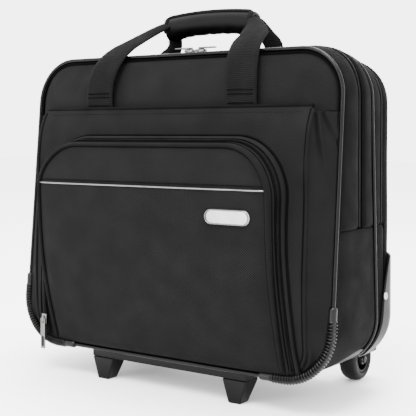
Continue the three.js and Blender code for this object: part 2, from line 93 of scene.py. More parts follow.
def hermite(points):
    """A smooth curve through (input, output) points."""
    xs, ys = np.array(points, float).T
    slopes = np.gradient(ys, xs)

    def curve(x):
        x = np.clip(np.asarray(x, float), xs[0], xs[-1])
        i = np.clip(np.searchsorted(xs, x, side="right") - 1, 0, len(xs) - 2)
        h = xs[i + 1] - xs[i]
        t = (x - xs[i]) / h
        return ((2 * t**3 - 3 * t**2 + 1) * ys[i] + (t**3 - 2 * t**2 + t) * h * slopes[i]
                + (3 * t**2 - 2 * t**3) * ys[i + 1] + (t**3 - t**2) * h * slopes[i + 1])
    return curve


def step(x, low, high):
    t = np.clip((np.asarray(x, float) - low) / (high - low), 0, 1)
    return t * t * (3 - 2 * t)


def front_y(z):
    return FRONT_TOP_Y - LEAN * (HIGH - z)


def mid_y(z):
    return MID_TOP_Y + MID_LEAN * (HIGH - z)


# Depths of the front faces by height, in mm.
pocket_edge_y = hermite([(42, -83.6), (70, -88.5), (123, -91.5), (215, -87.6),
                         (280, -85.2), (300, -80.5), (311, -75.5), (320, -70)])
pocket_depth = hermite([(42, 0), (80, 11), (123, 18), (210, 18), (287, 17), (320, 16)])
flap_y = hermite([(42, -86), (95, -101), (150, -112), (200, -116.2), (245, -116.9), (282, -111.4)])


def pocket_face_y(x, z):
    """The slip pocket's outside: it bulges in the middle and its bound edges are drawn back at the mouth."""
    across = np.clip(np.abs(x) / POCKET_HALF, 0, 1)
    middle = front_y(z) + 0.7 - pocket_depth(z) - 3.5 * step(z, 60, 150) * (1 - across**2)
    held = across**5
    return middle * (1 - held) + pocket_edge_y(z) * held


def front_panel_y(x, z):
    rise = np.sin(np.clip((HIGH - 2 - z) / 55, 0, 1) * math.pi / 2) ** 0.8
    crown = 11.5 * rise * np.clip(1 - (np.abs(x) / 208) ** 4, 0, 1)
    return front_y(z) + 2 - crown * (0.55 + 0.45 * step(z, 210, 315))


def ripple(x, y, z, amount):
    """Low uneven waves, as in stuffed or stretched cloth."""
    waves = np.sin(x / 23 + z / 31) + np.sin(z / 17 - x / 41 + 1.3) + np.sin(y / 13 + z / 37 + x / 61)
    return amount * waves / 3


def level(y):
    """A depth that is the same at every height."""
    return lambda z: 0 * z + y


def shifted(curve, amount):
    return lambda z: curve(z) + amount


# ---- materials
def rgb(color):
    """A colour given as a grey level or as (red, green, blue)."""
    return color if isinstance(color, tuple) else (color, color, color)


def shader(name, color, rough, metal=0.0):
    mat = bpy.data.materials.new(name)
    mat.use_nodes = True
    tree = mat.node_tree
    bsdf = tree.nodes["Principled BSDF"]
    bsdf.inputs["Base Color"].default_value = (*rgb(color), 1)
    bsdf.inputs["Roughness"].default_value = rough
    bsdf.inputs["Metallic"].default_value = metal
    return mat, tree, bsdf


def link(tree, source, target):
    tree.links.new(source, target)


def math_node(tree, kind, a, b=None):
    node = tree.nodes.new("ShaderNodeMath")
    node.operation = kind
    for i, value in enumerate((a, b)):
        if value is None:
            continue
        if isinstance(value, (int, float)):
            node.inputs[i].default_value = value
        else:
            link(tree, value, node.inputs[i])
    return node.outputs[0]


def threads(tree, coords, direction, pitch):
    """A sine along a direction, one wave for each pitch in mm."""
    dot = tree.nodes.new("ShaderNodeVectorMath")
    dot.operation = "DOT_PRODUCT"
    link(tree, coords, dot.inputs[0])
    dot.inputs[1].default_value = Vector(direction).normalized() * (2 * math.pi / (pitch * MM))
    return math_node(tree, "SINE", dot.outputs["Value"])


def noise_node(tree, coords, scale, detail, stretch=None):
    node = tree.nodes.new("ShaderNodeTexNoise")
    node.inputs["Scale"].default_value = scale
    node.inputs["Detail"].default_value = detail
    if stretch:
        mapping = tree.nodes.new("ShaderNodeMapping")
        mapping.inputs["Scale"].default_value = stretch
        link(tree, coords, mapping.inputs["Vector"])
        coords = mapping.outputs["Vector"]
    link(tree, coords, node.inputs["Vector"])
    return node.outputs["Fac"]


def mix_colors(tree, factor, dark, light):
    node = tree.nodes.new("ShaderNodeMix")
    node.data_type = "RGBA"
    node.inputs["A"].default_value = (*rgb(dark), 1)
    node.inputs["B"].default_value = (*rgb(light), 1)
    link(tree, factor, node.inputs["Factor"])
    return node.outputs["Result"]


def spread(tree, value, low, high, to_low, to_high):
    node = tree.nodes.new("ShaderNodeMapRange")
    for key, number in (("From Min", low), ("From Max", high), ("To Min", to_low), ("To Max", to_high)):
        node.inputs[key].default_value = number
    link(tree, value, node.inputs["Value"])
    return node.outputs["Result"]


def finish_surface(tree, bsdf, color, rough, height, relief):
    """Connects colour, roughness and a bump of relief mm."""
    bump = tree.nodes.new("ShaderNodeBump")
    bump.inputs["Distance"].default_value = relief * MM
    link(tree, height, bump.inputs["Height"])
    link(tree, color, bsdf.inputs["Base Color"])
    link(tree, rough, bsdf.inputs["Roughness"])
    link(tree, bump.outputs["Normal"], bsdf.inputs["Normal"])


def object_coords(tree):
    return tree.nodes.new("ShaderNodeTexCoord").outputs["Object"]


def woven(name, dark, light, pitch, ways, rough=(0.72, 0.92), relief=0.35, sheen=0.004):
    """Cloth: two thread directions, uneven dye, and rubbed patches."""
    mat, tree, bsdf = shader(name, dark, 0.85)
    coords = object_coords(tree)
    warp, weft = (threads(tree, coords, way, pitch) for way in ways)
    weave = math_node(tree, "MULTIPLY", warp, weft)
    slub = noise_node(tree, coords, 420, 2)
    wear = noise_node(tree, coords, 38, 5)
    height = math_node(tree, "ADD", math_node(tree, "MULTIPLY", weave, 0.5), slub)
    thread_shade = spread(tree, weave, -0.8, 0.8, 0.0, 0.9)
    shade = math_node(tree, "ADD", thread_shade, spread(tree, wear, 0.3, 0.7, -0.02, 0.05))
    roughness = spread(tree, wear, 0.35, 0.7, rough[1], rough[0])
    finish_surface(tree, bsdf, mix_colors(tree, shade, dark, light), roughness, height, relief)
    bsdf.inputs["Sheen Weight"].default_value = sheen
    bsdf.inputs["Sheen Roughness"].default_value = 0.5
    bsdf.inputs["Specular IOR Level"].default_value = 0.03
    return mat


def moulded(name, dark, light, rough, grain, relief, specular):
    """Plastic, vinyl or rubber with a fine surface grain and rubbed patches."""
    mat, tree, bsdf = shader(name, dark, rough)
    coords = object_coords(tree)
    fine = noise_node(tree, coords, grain, 3)
    wear = noise_node(tree, coords, 22, 4)
    color = mix_colors(tree, spread(tree, wear, 0.35, 0.7, 0, 1), dark, light)
    roughness = spread(tree, wear, 0.3, 0.7, rough - 0.06, rough + 0.08)
    finish_surface(tree, bsdf, color, roughness, fine, relief)
    bsdf.inputs["Specular IOR Level"].default_value = specular
    return mat


def metallic(name, color, rough, stretch, relief=0.04):
    """Metal with fine lines along one direction and a little tarnish."""
    mat, tree, bsdf = shader(name, color, rough, 1.0)
    coords = object_coords(tree)
    lines = noise_node(tree, coords, 900, 2, stretch)
    wear = noise_node(tree, coords, 60, 3)
    tarnished = tuple(c * 0.82 for c in rgb(color))
    color = mix_colors(tree, spread(tree, wear, 0.35, 0.7, 0, 1), tarnished, color)
    roughness = spread(tree, lines, 0.3, 0.7, rough - 0.05, rough + 0.1)
    finish_surface(tree, bsdf, color, roughness, lines, relief)
    return mat


TWILL_WAYS = ((1, 0.9, 0.0), (0, 0.1, 1))
PLAIN_WAYS = ((1, 0, 0), (0, 0, 1))
RIB_WAYS = ((0.1, 0.45, 1), (0.1, 0.45, 1))
TWISTED_WAYS = ((1, 0, 1), (1, 0, -1))
TWILL = woven("body_twill", 0.0004, (0.0078, 0.0078, 0.0079), 2.5, TWILL_WAYS)
# Finer twill for the walls. Its light colour is darker than the body twill's, which is painted shade for the
# walls.
TWILL_FINE_SHADED = woven("gusset_twill_painted_shade", 0.0004, 0.0016, 2.0, TWILL_WAYS)
LINING = woven("grey_lining", (0.03, 0.031, 0.033), (0.06, 0.062, 0.065), 1.4, PLAIN_WAYS)
WEBBING = woven("strap_webbing", 0.0001, 0.0036, 4.4, RIB_WAYS, relief=0.6)
TAPE = woven("zip_tape_weave", 0.0008, 0.0056, 1.2, ((1, 0, 0), (0, 0.6, 1)))
BINDING = woven("grosgrain_binding", 0.0012, 0.0055, 1.6, ((1, 0, 0), (0, 0.5, 1)))
VINYL = moulded("piping_vinyl", 0.0008, 0.0016, 0.16, 300, 0.03, 0.1)
PLASTIC = moulded("satin_plastic", 0.0005, 0.0012, 0.4, 1400, 0.05, 0.08)
PLASTIC_ROUGH = moulded("ribbed_plastic", 0.0006, 0.0018, 0.26, 900, 0.06, 0.14)
RUBBER = moulded("tyre_rubber", 0.0015, 0.003, 0.6, 700, 0.12, 0.14)
LEATHER = moulded("grip_leatherette", 0.0004, 0.001, 0.4, 1100, 0.16, 0.06)
NICKEL = metallic("bright_nickel", (0.11, 0.11, 0.108), 0.18, (1, 1, 0.1))
SILVER_CORD = metallic("silver_cord", 0.13, 0.3, (0.03, 1, 1))
STEEL = metallic("brushed_steel", (0.36, 0.36, 0.357), 0.33, (0.03, 1, 1), 0.05)
ALUMINIUM = metallic("satin_aluminium", (0.2, 0.205, 0.21), 0.36, (1, 1, 0.03))
# Thread for the stitches. The same near-black material also makes the painted shade lines along seams,
# grooves and zip edges.
THREAD_AND_SHADE = woven("sewing_thread_and_painted_shade", 0.0004, 0.0015, 0.6, TWISTED_WAYS, rough=(0.9, 0.98), sheen=0.0)
COIL = moulded("nylon_coil", 0.0008, 0.0052, 0.4, 600, 0.03, 0.06)


# ---- mesh helpers
def unit(vectors):
    return vectors / np.linalg.norm(vectors, axis=1)[:, None]


def square_to(vectors, along):
    """Unit vectors at right angles to the unit directions along, nearest to the given ones."""
    return unit(vectors - (vectors * along).sum(1)[:, None] * along)


def place_object(name, data):
    obj = bpy.data.objects.new(name, data)
    bpy.context.scene.collection.objects.link(obj)
    return obj


def new_object(name, verts, faces, mat):
    mesh = bpy.data.meshes.new(name)
    verts = (np.asarray(verts, float) * MM).tolist()
    mesh.from_pydata(verts, [], [tuple(int(i) for i in f) for f in faces])
    work = bmesh.new()
    work.from_mesh(mesh)
    bmesh.ops.recalc_face_normals(work, faces=work.faces)
    work.to_mesh(mesh)
    work.free()
    mesh.shade_smooth()
    mesh.materials.append(mat)
    return place_object(name, mesh)


def apply_modifiers(obj):
    bpy.context.view_layer.update()
    depsgraph = bpy.context.evaluated_depsgraph_get()
    mesh = bpy.data.meshes.new_from_object(obj.evaluated_get(depsgraph))
    obj.modifiers.clear()
    old = obj.data
    obj.data = mesh
    bpy.data.meshes.remove(old)
    mesh.name = obj.name
    return obj


def grid_faces(nu, nv, wrap_u=False, wrap_v=False, start=0):
    faces = []
    for i in range(nu if wrap_u else nu - 1):
        for j in range(nv if wrap_v else nv - 1):
            a, b = i, (i + 1) % nu
            c, d = j, (j + 1) % nv
            faces.append((start + a * nv + c, start + b * nv + c, start + b * nv + d, start + a * nv + d))
    return faces


def shell(name, outer, inner, mat):
    """A closed skin between two grids of points of the same size."""
    nu, nv, _ = outer.shape
    count = nu * nv
    verts = np.concatenate([outer.reshape(-1, 3), inner.reshape(-1, 3)])
    faces = grid_faces(nu, nv) + [f[::-1] for f in grid_faces(nu, nv, start=count)]
    for i in range(nu - 1):
        a, b = i * nv, (i + 1) * nv
        for j in (0, nv - 1):
            faces.append((a + j, b + j, count + b + j, count + a + j))
    for j in range(nv - 1):
        for a in (0, (nu - 1) * nv):
            faces.append((a + j, a + j + 1, count + a + j + 1, count + a + j))
    return new_object(name, verts, faces, mat)


def capped_ends(nu, nv):
    """The faces that close both ends of a tube of nu rings of nv points."""
    return [tuple(range(nv))[::-1], tuple((nu - 1) * nv + j for j in range(nv))]


def sweep(name, centres, across, upward, profile, mat, closed=False):
    """A tube through the centres. profile gives distances along across and upward, for all rings or for each.

    across and upward are one direction for all rings or one for each.
    """
    centres = np.asarray(centres, float)
    across, upward = (np.broadcast_to(np.asarray(v, float), centres.shape) for v in (across, upward))
    profile = np.asarray(profile, float)
    if profile.ndim == 2:
        profile = np.repeat(profile[None], len(centres), axis=0)
    points = centres[:, None] + profile[:, :, :1] * across[:, None] + profile[:, :, 1:] * upward[:, None]
    nu, nv = points.shape[:2]
    faces = grid_faces(nu, nv, closed, True)
    if not closed:
        faces += capped_ends(nu, nv)
    return new_object(name, points.reshape(-1, 3), faces, mat)


def cord(name, points, radius, mat, closed=False):
    """A thin tube along a line."""
    points = np.asarray(points, float)
    if closed:
        along = unit(np.roll(points, -1, 0) - np.roll(points, 1, 0))
    else:
        along = unit(np.gradient(points, axis=0))
    across = np.cross(along, Y_AXIS)
    across /= np.maximum(np.linalg.norm(across, axis=1), 1e-6)[:, None]
    return sweep(name, points, across, np.cross(across, along), round_profile(radius, 8), mat, closed)


def round_profile(radius, count=14, flat=1.0):
    angles = np.linspace(0, 2 * math.pi, count, endpoint=False)
    return np.stack([radius * np.cos(angles), radius * flat * np.sin(angles)], 1)


def box_profile(width, thick, soft):
    """A flat strap's section with rounded edges, four points to each long side."""
    w, t = width / 2, thick / 2
    s = min(soft, t * 0.9)
    xs = [-w + s, -w / 3, w / 3, w - s, w, w, w - s, w / 3, -w / 3, -w + s, -w, -w]
    ys = [t, t, t, t, t - s, -t + s, -t, -t, -t, -t, -t + s, t - s]
    return np.array([xs, ys]).T


class Loop:
    """A rounded outline in X and Z, by length in mm, counter-clockwise from the middle of its bottom edge."""

    ARC = 41  # points on each rounded corner

    def __init__(self, half, low, high, r_top, r_low, out=0.0):
        h, lo, hi, rt, rl = half + out, low - out, high + out, r_top + out, r_low + out
        corners = ((h - rl, lo + rl, rl, -0.5), (h - rt, hi - rt, rt, 0),
                   (rt - h, hi - rt, rt, 0.5), (rl - h, lo + rl, rl, 1))
        bottom = (0, lo, 0, -1)
        points = [bottom]
        for cx, cz, r, start in corners:
            for angle in np.linspace(start, start + 0.5, self.ARC) * math.pi:
                nx, nz = math.cos(angle), math.sin(angle)
                points.append((cx + r * nx, cz + r * nz, nx, nz))
        points.append(bottom)
        self.table = np.array(points)
        steps = np.hypot(np.diff(self.table[:, 0]), np.diff(self.table[:, 1]))
        self.s = np.concatenate([[0], np.cumsum(np.maximum(steps, 1e-6))])
        self.length = self.s[-1]

    def at(self, s):
        """Places and outward directions x, z, nx, nz at lengths s."""
        s = np.mod(s, self.length)
        x, z, nx, nz = (np.interp(s, self.s, self.table[:, k]) for k in range(4))
        size = np.hypot(nx, nz)
        return x, z, nx / size, nz / size

    def line(self, s, depth, out=0.0):
        """Points at lengths s, at depth or depth(z), set out from the outline by out or out(nz)."""
        x, z, nx, nz = self.at(s)
        depth = depth(z) if callable(depth) else np.full_like(x, depth)
        out = out(nz) if callable(out) else out
        return np.stack([x + nx * out, depth, z + nz * out], 1)

    def outward(self, s):
        _, _, nx, nz = self.at(s)
        return np.stack([nx, 0 * nx, nz], 1)

    def s_at(self, z):
        """The length at which the right side reaches a height."""
        right = slice(1, 1 + 2 * self.ARC)
        return float(np.interp(z, self.table[right, 1], self.s[right]))

    def upper(self, z, spacing=6.0):
        """Lengths from the right side at z, over the top, to the left side at z."""
        first = self.s_at(z)
        last = self.length - first
        return np.linspace(first, last, int((last - first) / spacing) + 2)

    def lower(self, z, spacing=6.0):
        """Lengths from the left side at z, under the bottom, to the right side at z."""
        last = self.s_at(z)
        return np.linspace(-last, last, int(2 * last / spacing) + 2)

    def whole(self, spacing=5.0):
        return np.linspace(0, self.length, int(self.length / spacing) + 1)[:-1]


CASE = Loop(HALF, LOW, HIGH, R_TOP, R_LOW)
REAR = Loop(HALF, LOW, REAR_HIGH, REAR_R_TOP, R_LOW)
FLAP = Loop(FLAP_HALF, LOW + 3.2, FLAP_HIGH, 54, 2.5)
END_ROWS = np.array([1, 2.2, 4])  # close rows near the ends of a band, in mm


def with_end_rows(s):
    return np.unique(np.concatenate([s, s[0] + END_ROWS, s[-1] - END_ROWS]))


def turned_in(s):
    """How far a band dips at both ends, where its cloth is turned in."""
    rise = np.minimum(s - s[0], s[-1] - s)[:, None]
    return 1.4 * np.exp(-(rise / 1.8) ** 2)


def band_points(loop, s, depth, out):
    """Points (len(s), len(v), 3) on a band round a loop. depth and out are arrays (len(s), len(v))."""
    x, z, nx, nz = loop.at(s)
    return np.stack([x[:, None] + nx[:, None] * out, depth + 0 * out, z[:, None] + nz[:, None] * out], -1)


def skin(name, loop, s, depth, out, mat, thick=CLOTH):
    return shell(name, band_points(loop, s, depth, out), band_points(loop, s, depth, out - thick), mat)


def seamed(v, width, drop=1.6, reach=1.6):
    """How far cloth dips where it is sewn: v runs 0 to 1 over a panel of that width in mm."""
    edge = np.minimum(v, 1 - v) * width
    return -drop * np.exp(-(edge / reach) ** 2)


def sharp_spread(count, edge=0.035):
    """Places 0 to 1, closer together at both ends."""
    middle = np.linspace(edge, 1 - edge, count)
    return np.concatenate([[0, edge * 0.25, edge * 0.6], middle, [1 - edge * 0.6, 1 - edge * 0.25, 1]])


def plate(name, boundary, height, mat, thick=2.5, rings=26, edge_drop=0.0, edge_width=8.0, middle_x=0.0):
    """A filled face inside a boundary of (x, z) points. height(x, z) is y; edge_drop pulls the rim back."""
    boundary = np.asarray(boundary, float)
    centre = np.array([middle_x, (boundary[:, 1].min() + boundary[:, 1].max()) / 2])
    reach = np.linspace(0, 1, rings + 1)[1:] ** 0.75
    rows = centre + (boundary - centre) * reach[::-1][:, None, None]
    x, z = rows[:, :, 0], rows[:, :, 1]
    gap = np.linalg.norm(boundary - centre, axis=1)[None] * (1 - reach[::-1])[:, None]
    y = height(x, z) + edge_drop * np.exp(-(gap / edge_width) ** 2)
    front = np.stack([x, y, z], -1)
    through = np.array([0, thick, 0])
    middle = np.array([centre[0], float(height(centre[0], centre[1])), centre[1]])
    n, m = front.shape[:2]
    count = n * m
    last = (n - 1) * m
    skins = [front.reshape(-1, 3), (front + through).reshape(-1, 3)]
    verts = np.concatenate([*skins, [middle, middle + through]])
    faces = grid_faces(n, m, wrap_v=True) + grid_faces(n, m, wrap_v=True, start=count)
    for j in range(m):
        k = (j + 1) % m
        faces.append((j, k, count + k, count + j))
        faces.append((last + j, last + k, 2 * count))
        faces.append((count + last + j, count + last + k, 2 * count + 1))
    return new_object(name, verts, faces, mat)


def smoothed(table):
    """A 1-2-1 blur both ways."""
    for _ in range(2):
        padded = np.pad(table, ((1, 1), (0, 0)), mode="edge")
        table = ((padded[:-2] + 2 * padded[1:-1] + padded[2:]) / 4).T
    return table


def field(places, values, cell=5.0):
    """Scattered values at (x, z) places as a smooth function of x and z."""
    low = places.min(0) - cell
    index = np.round((places - low) / cell).astype(int)
    total, count = np.zeros((2, *(index.max(0) + 2)))
    np.add.at(total, tuple(index.T), values)
    np.add.at(count, tuple(index.T), 1)
    for _ in range(2):
        total, count = smoothed(total), smoothed(count)
    table = total / np.maximum(count, 1e-6)

    def look(x, z):
        u = np.clip((np.asarray(x, float) - low[0]) / cell, 0, table.shape[0] - 1.001)
        w = np.clip((np.asarray(z, float) - low[1]) / cell, 0, table.shape[1] - 1.001)
        i, j = u.astype(int), w.astype(int)
        u, w = u - i, w - j
        near = table[i, j] * (1 - u) + table[i + 1, j] * u
        far = table[i, j + 1] * (1 - u) + table[i + 1, j + 1] * u
        return near * (1 - w) + far * w
    return look


def vertex_array(mesh):
    coords = np.empty(len(mesh.vertices) * 3)
    mesh.vertices.foreach_get("co", coords)
    return coords.reshape(-1, 3) / MM


def swollen(boundary, height, cap, held=(), outward=-1, thick=9.0, voxel=5.0, rim_width=6, frames=20):
    """How far padded cloth swells from a face, as a function of x and z.

    A pad inside the boundary is sewn down along its rim and behind, held in the given boxes of
    (x low, x high, z low, z high), and filled with air by a cloth simulation.
    """
    boundary = np.asarray(boundary, float)
    pad = plate("swelling", boundary, height, TWILL, thick=-outward * thick)
    remesh = pad.modifiers.new("remesh", "REMESH")
    remesh.mode = "VOXEL"
    remesh.voxel_size = voxel * MM
    apply_modifiers(pad)
    rest = vertex_array(pad.data)
    x, z = rest[:, 0], rest[:, 2]
    rim = np.min(np.hypot(x[:, None] - boundary[None, :, 0], z[:, None] - boundary[None, :, 1]), axis=1)
    behind = (rest[:, 1] - height(x, z)) * -outward > thick / 2
    sewn = behind | (rim < rim_width)
    for x_low, x_high, z_low, z_high in held:
        sewn |= (x > x_low) & (x < x_high) & (z > z_low) & (z < z_high)
    pins = pad.vertex_groups.new(name="sewn")
    pins.add(np.flatnonzero(sewn).tolist(), 1.0, "REPLACE")
    cloth = pad.modifiers.new("cloth", "CLOTH")
    cloth.settings.vertex_group_mass = "sewn"
    cloth.settings.use_pressure = True
    cloth.settings.uniform_pressure_force = 4
    cloth.settings.shrink_min = -0.025
    cloth.settings.effector_weights.gravity = 0
    for frame_number in range(1, frames + 1):
        bpy.context.scene.frame_set(frame_number)
    evaluated = pad.evaluated_get(bpy.context.evaluated_depsgraph_get())
    swelling = (vertex_array(evaluated.data)[:, 1] - rest[:, 1]) * outward
    bpy.context.scene.frame_set(1)
    bpy.data.objects.remove(pad)
    front = ~behind
    return field(np.stack([x, z], 1)[front], cap * np.tanh(swelling[front] / cap))


def refined(node, mat, bevel, segments):
    """A copy of a CAD node with its edges rounded."""
    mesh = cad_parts[node].data.copy()
    work = bmesh.new()
    work.from_mesh(mesh)
    bmesh.ops.remove_doubles(work, verts=work.verts, dist=1e-6)
    bmesh.ops.dissolve_limit(work, angle_limit=math.radians(0.8), verts=work.verts, edges=work.edges)
    work.to_mesh(mesh)
    work.free()
    mesh.materials.clear()
    mesh.materials.append(mat)
    mesh.shade_smooth()
    obj = place_object(node + "_fine", mesh)
    rounding = obj.modifiers.new("bevel", "BEVEL")
    rounding.width = bevel * MM
    rounding.segments = segments
    rounding.limit_method = "ANGLE"
    rounding.angle_limit = math.radians(32)
    rounding.harden_normals = True
    return apply_modifiers(obj)


def moulded_copy(node, mat, voxel):
    """A copy of a CAD node with its facets and corners melted into one moulded form."""
    obj = refined(node, mat, 0.0, 1)
    remesh = obj.modifiers.new("remesh", "REMESH")
    remesh.mode = "VOXEL"
    remesh.voxel_size = voxel * MM
    remesh.use_smooth_shade = True
    smooth = obj.modifiers.new("smooth", "SMOOTH")
    smooth.iterations = 4
    apply_modifiers(obj)
    obj.data.materials.clear()
    obj.data.materials.append(mat)
    return obj


def put(obj, body, slot, *nodes):
    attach(obj, body)
    if nodes:
        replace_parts(obj, *nodes)
    return obj


def put_between(obj, first, second, start, end, slot, *nodes):
    """A piece of cloth that crosses a joint. start and end are in mm, and are not used."""
    if nodes:
        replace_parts(obj, *nodes)
    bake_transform(obj)
    return obj


def show(node, mat, body, slot, bevel, segments=2):
    """Shows a hard CAD node as its own copy with rounded edges."""
    return put(refined(node, mat, bevel, segments), body, slot, node)


def little_boxes(name, centres, along, across, size, mat, round_ends=True):
    """Many small pieces in one mesh, such as stitches or zip teeth. size is (length, width, height) in mm."""
    centres = np.asarray(centres, float)
    along, across = (np.broadcast_to(np.asarray(v, float), centres.shape) for v in (along, across))
    along = unit(along)
    across = square_to(across, along)
    up = np.cross(along, across)
    length, width, height = (v / 2 for v in size)
    section = round_profile(1.0, 6)
    ends = [(-1, 0.45), (-0.7, 1), (0.7, 1), (1, 0.45)] if round_ends else [(-1, 0.9), (1, 0.9)]
    rows = []
    for place, scale in ends:
        offset = along[:, None] * length * place + across[:, None] * section[None, :, :1] * width * scale
        offset = offset + up[:, None] * section[None, :, 1:] * height * scale
        rows.append(centres[:, None] + offset)
    points = np.stack(rows, 1)
    n, k, m = points.shape[:3]
    single = grid_faces(k, m, wrap_v=True) + capped_ends(k, m)
    faces = [tuple(i * k * m + v for v in f) for i in range(n) for f in single]
    return new_object(name, points.reshape(-1, 3), faces, mat)


def run_lengths(points):
    return np.concatenate([[0], np.cumsum(np.linalg.norm(np.diff(points, axis=0), axis=1))])


def run_of(points, pitch, start=0.0):
    """Evenly spaced places along a polyline, with their directions."""
    points = np.asarray(points, float)
    s = run_lengths(points)
    places = np.arange(start, s[-1], pitch)

    def at(lengths):
        return np.stack([np.interp(lengths, s, points[:, k]) for k in range(3)], 1)
    return at(places), at(np.minimum(places + 0.5, s[-1])) - at(np.maximum(places - 0.5, 0))


def stitches(name, lines, across, body, pitch=3.6, length=2.5, width=1.0):
    """Rows of thread along polylines, each stitch as wide as width along the across direction."""
    runs = [run_of(line, pitch, pitch / 2) for line in lines]
    centres, along = (np.concatenate(part) for part in zip(*runs))
    obj = little_boxes(name, centres, along, across, (length, width, width * 0.8), THREAD_AND_SHADE)
    return put(obj, body, "thread")


def zip_coils(line, halves, pitch=1.6, reach=1.5):
    """Teeth standing to both sides of a zip's line. halves are (name, side, body)."""
    for name, side, body in halves:
        centres, along = run_of(line, pitch, 0 if side > 0 else pitch / 2)
        side_way = np.repeat([Y_AXIS], len(centres), axis=0)
        centres = centres + side_way * side * reach * 0.42
        put(little_boxes(name, centres, side_way, along, (reach * 1.5, 0.95, 1.5), COIL), body, "zip_coil")


# ---- piping cords and corner sleeves
def piping_cord(name, depth, radius):
    s = CASE.whole()
    return sweep(name, CASE.line(s, depth, 0.7), CASE.outward(s), Y_AXIS, round_profile(radius), VINYL, True)


PIPING_Y = shifted(front_y, 1.2)
put(piping_cord("front_piping_cord", PIPING_Y, 2.1), FRONT, "piping", "front_piping")
put(piping_cord("middle_piping_cord", mid_y, 2.0), "case", "piping", "rear_piping")


def corner_sleeve(name, side):
    """A ribbed plastic sleeve over the piping at a lower front corner, smooth at its ends."""
    first, last = CASE.s_at(LOW + 0.4) - 34, CASE.s_at(116)
    s = np.linspace(first, last, 260) * side
    if side < 0:
        s = s[::-1]
    along = np.abs(s) - first
    ends = np.minimum(along, (last - first) - along)[:, None]
    angles = np.linspace(0, 2 * math.pi, 24, endpoint=False)
    spine = math.radians(-42)
    away = np.abs((angles - spine + math.pi) % (2 * math.pi) - math.pi)
    flank = step(away, math.radians(10), math.radians(20))[None]
    ribs = 0.5 + 0.5 * np.cos(2 * math.pi * along / 3.3)
    ribbed = step(ends, 13, 15)
    radius = 4.4 + 0.5 * ribbed + ribbed * flank * (ribs[:, None] * 2.8 - 2.0)
    radius = radius - 0.9 * np.exp(-(ends / 1.2) ** 2)
    profile = np.stack([radius * np.cos(angles), radius * np.sin(angles)], -1)
    return sweep(name, CASE.line(s, PIPING_Y, 0.4), CASE.outward(s), Y_AXIS, profile, PLASTIC_ROUGH)


for word, side in SIDES:
    sleeve = corner_sleeve(f"corner_sleeve_{word}", side)
    put(sleeve, FRONT, "black_plastic", f"corner_bumper_{word}")


# ---- side and top walls
ZIP_GAP = 4.6
LAPTOP_GAP = 2.6
SEAM_STOP = 45.5  # where the rear walls end and the turned corner starts
ACROSS = sharp_spread(9)


def wall(name, loop, s, near, far, side_crown, top_crown, lift_near=(0, 0), lift_far=(0, 0)):
    """A band of cloth from depth near(z) to far(z).

    The crowns swell its middle at the sides and on top; the lifts raise each edge at (the sides, the top).
    """
    x, z, nx, nz = loop.at(s)
    v = ACROSS[None]
    depth = near(z)[:, None] * (1 - v) + far(z)[:, None] * v
    width = float(np.mean(far(z) - near(z)))
    crown = side_crown * np.abs(nx) ** 2 + top_crown * np.clip(nz, 0, 1) ** 2
    on_top = step(nz, 0.1, 1.0)[:, None]
    raised = [side + (top - side) * on_top for side, top in (lift_near, lift_far)]
    out = crown[:, None] * np.sin(np.pi * v) ** 0.8
    out = out + raised[0] * (1 - v) + raised[1] * v
    out = out + seamed(v, width) + ripple(x[:, None], depth, z[:, None], 0.5)
    return skin(name, loop, s, depth, out - turned_in(s), TWILL_FINE_SHADED)


FRONT_SEAM_Y = shifted(front_y, 3.0)
MID_SEAM_Y = shifted(mid_y, -1.6)
REAR_SEAM_Y = shifted(mid_y, 1.6)
ZIP_LIFT = (2.1, 5.2)  # how far cloth stands up beside the main zip
upper_s = with_end_rows(CASE.upper(SEAM_Z))
front_wall = wall("front_gusset_skin", CASE, upper_s, FRONT_SEAM_Y, level(ZIP_Y - ZIP_GAP), 2.4, 1.2,
                  lift_far=ZIP_LIFT)
put(front_wall, FRONT, "body_fabric", "front_gusset")
rear_wall = wall("rear_gusset_skin", CASE, upper_s, level(ZIP_Y + ZIP_GAP), MID_SEAM_Y, 2.0, 1.2,
                 ZIP_LIFT, (0.2, 0.4))
put(rear_wall, "case", "body_fabric", "main_rear_gusset")

# The points below mark the plane through the front section's hinge and the end of the main zip, where the
# lower wall would bend; nothing here bends it.
lower_s = with_end_rows(CASE.lower(SEAM_Z - 0.6))
lower_shell = wall("lower_shell", CASE, lower_s, FRONT_SEAM_Y, MID_SEAM_Y, 3.2, 1.0)
HINGE = (-84.0, 33.0)
slope = np.array([SEAM_Z - HINGE[1], -(ZIP_Y - HINGE[0])])
slope = slope / np.linalg.norm(slope)
zip_end = np.array([ZIP_Y, SEAM_Z])
put_between(lower_shell, "case", FRONT, (0, *(zip_end + slope * 5)), (0, *(zip_end - slope * 5)),
            "body_fabric", "side_panel_left", "side_panel_right")


def zip_tape(name, loop, s, near, far, out, body):
    """A woven tape from depth near to far, raised by out(nz)."""
    _, _, _, nz = loop.at(s)
    v = np.linspace(0, 1, 5)[None]
    depth = near * (1 - v) + far * v + 0 * s[:, None]
    lift = out(nz)[:, None] + 0 * v
    return put(skin(name, loop, s, depth, lift, TAPE, 0.7), body, "zip_tape")


def main_zip_out(nz):
    return -1.4 + 4.6 * step(nz, 0.1, 1.0) + 0.9


def main_teeth_out(nz):
    return main_zip_out(nz) + 0.6


def laptop_zip_out(nz):
    return 0 * nz - 0.9


def teeth_run(s):
    """Fine steps along a zip that stops short of both its ends."""
    return np.linspace(s[0] + 2, s[-1] - 2, 400)


TAPE_EDGE, TAPE_SPLIT = 6.5, 0.35  # from the main zip's middle to its tapes' outer and inner edges
zip_tape("main_zip_tape_front", CASE, upper_s, ZIP_Y - TAPE_EDGE, ZIP_Y - TAPE_SPLIT, main_zip_out, FRONT)
zip_tape("main_zip_tape_rear", CASE, upper_s, ZIP_Y + TAPE_SPLIT, ZIP_Y + TAPE_EDGE, main_zip_out, "case")
zip_coils(CASE.line(teeth_run(upper_s), ZIP_Y, main_teeth_out),
          (("main_zip_coil_front", -1, FRONT), ("main_zip_coil_rear", 1, "case")))


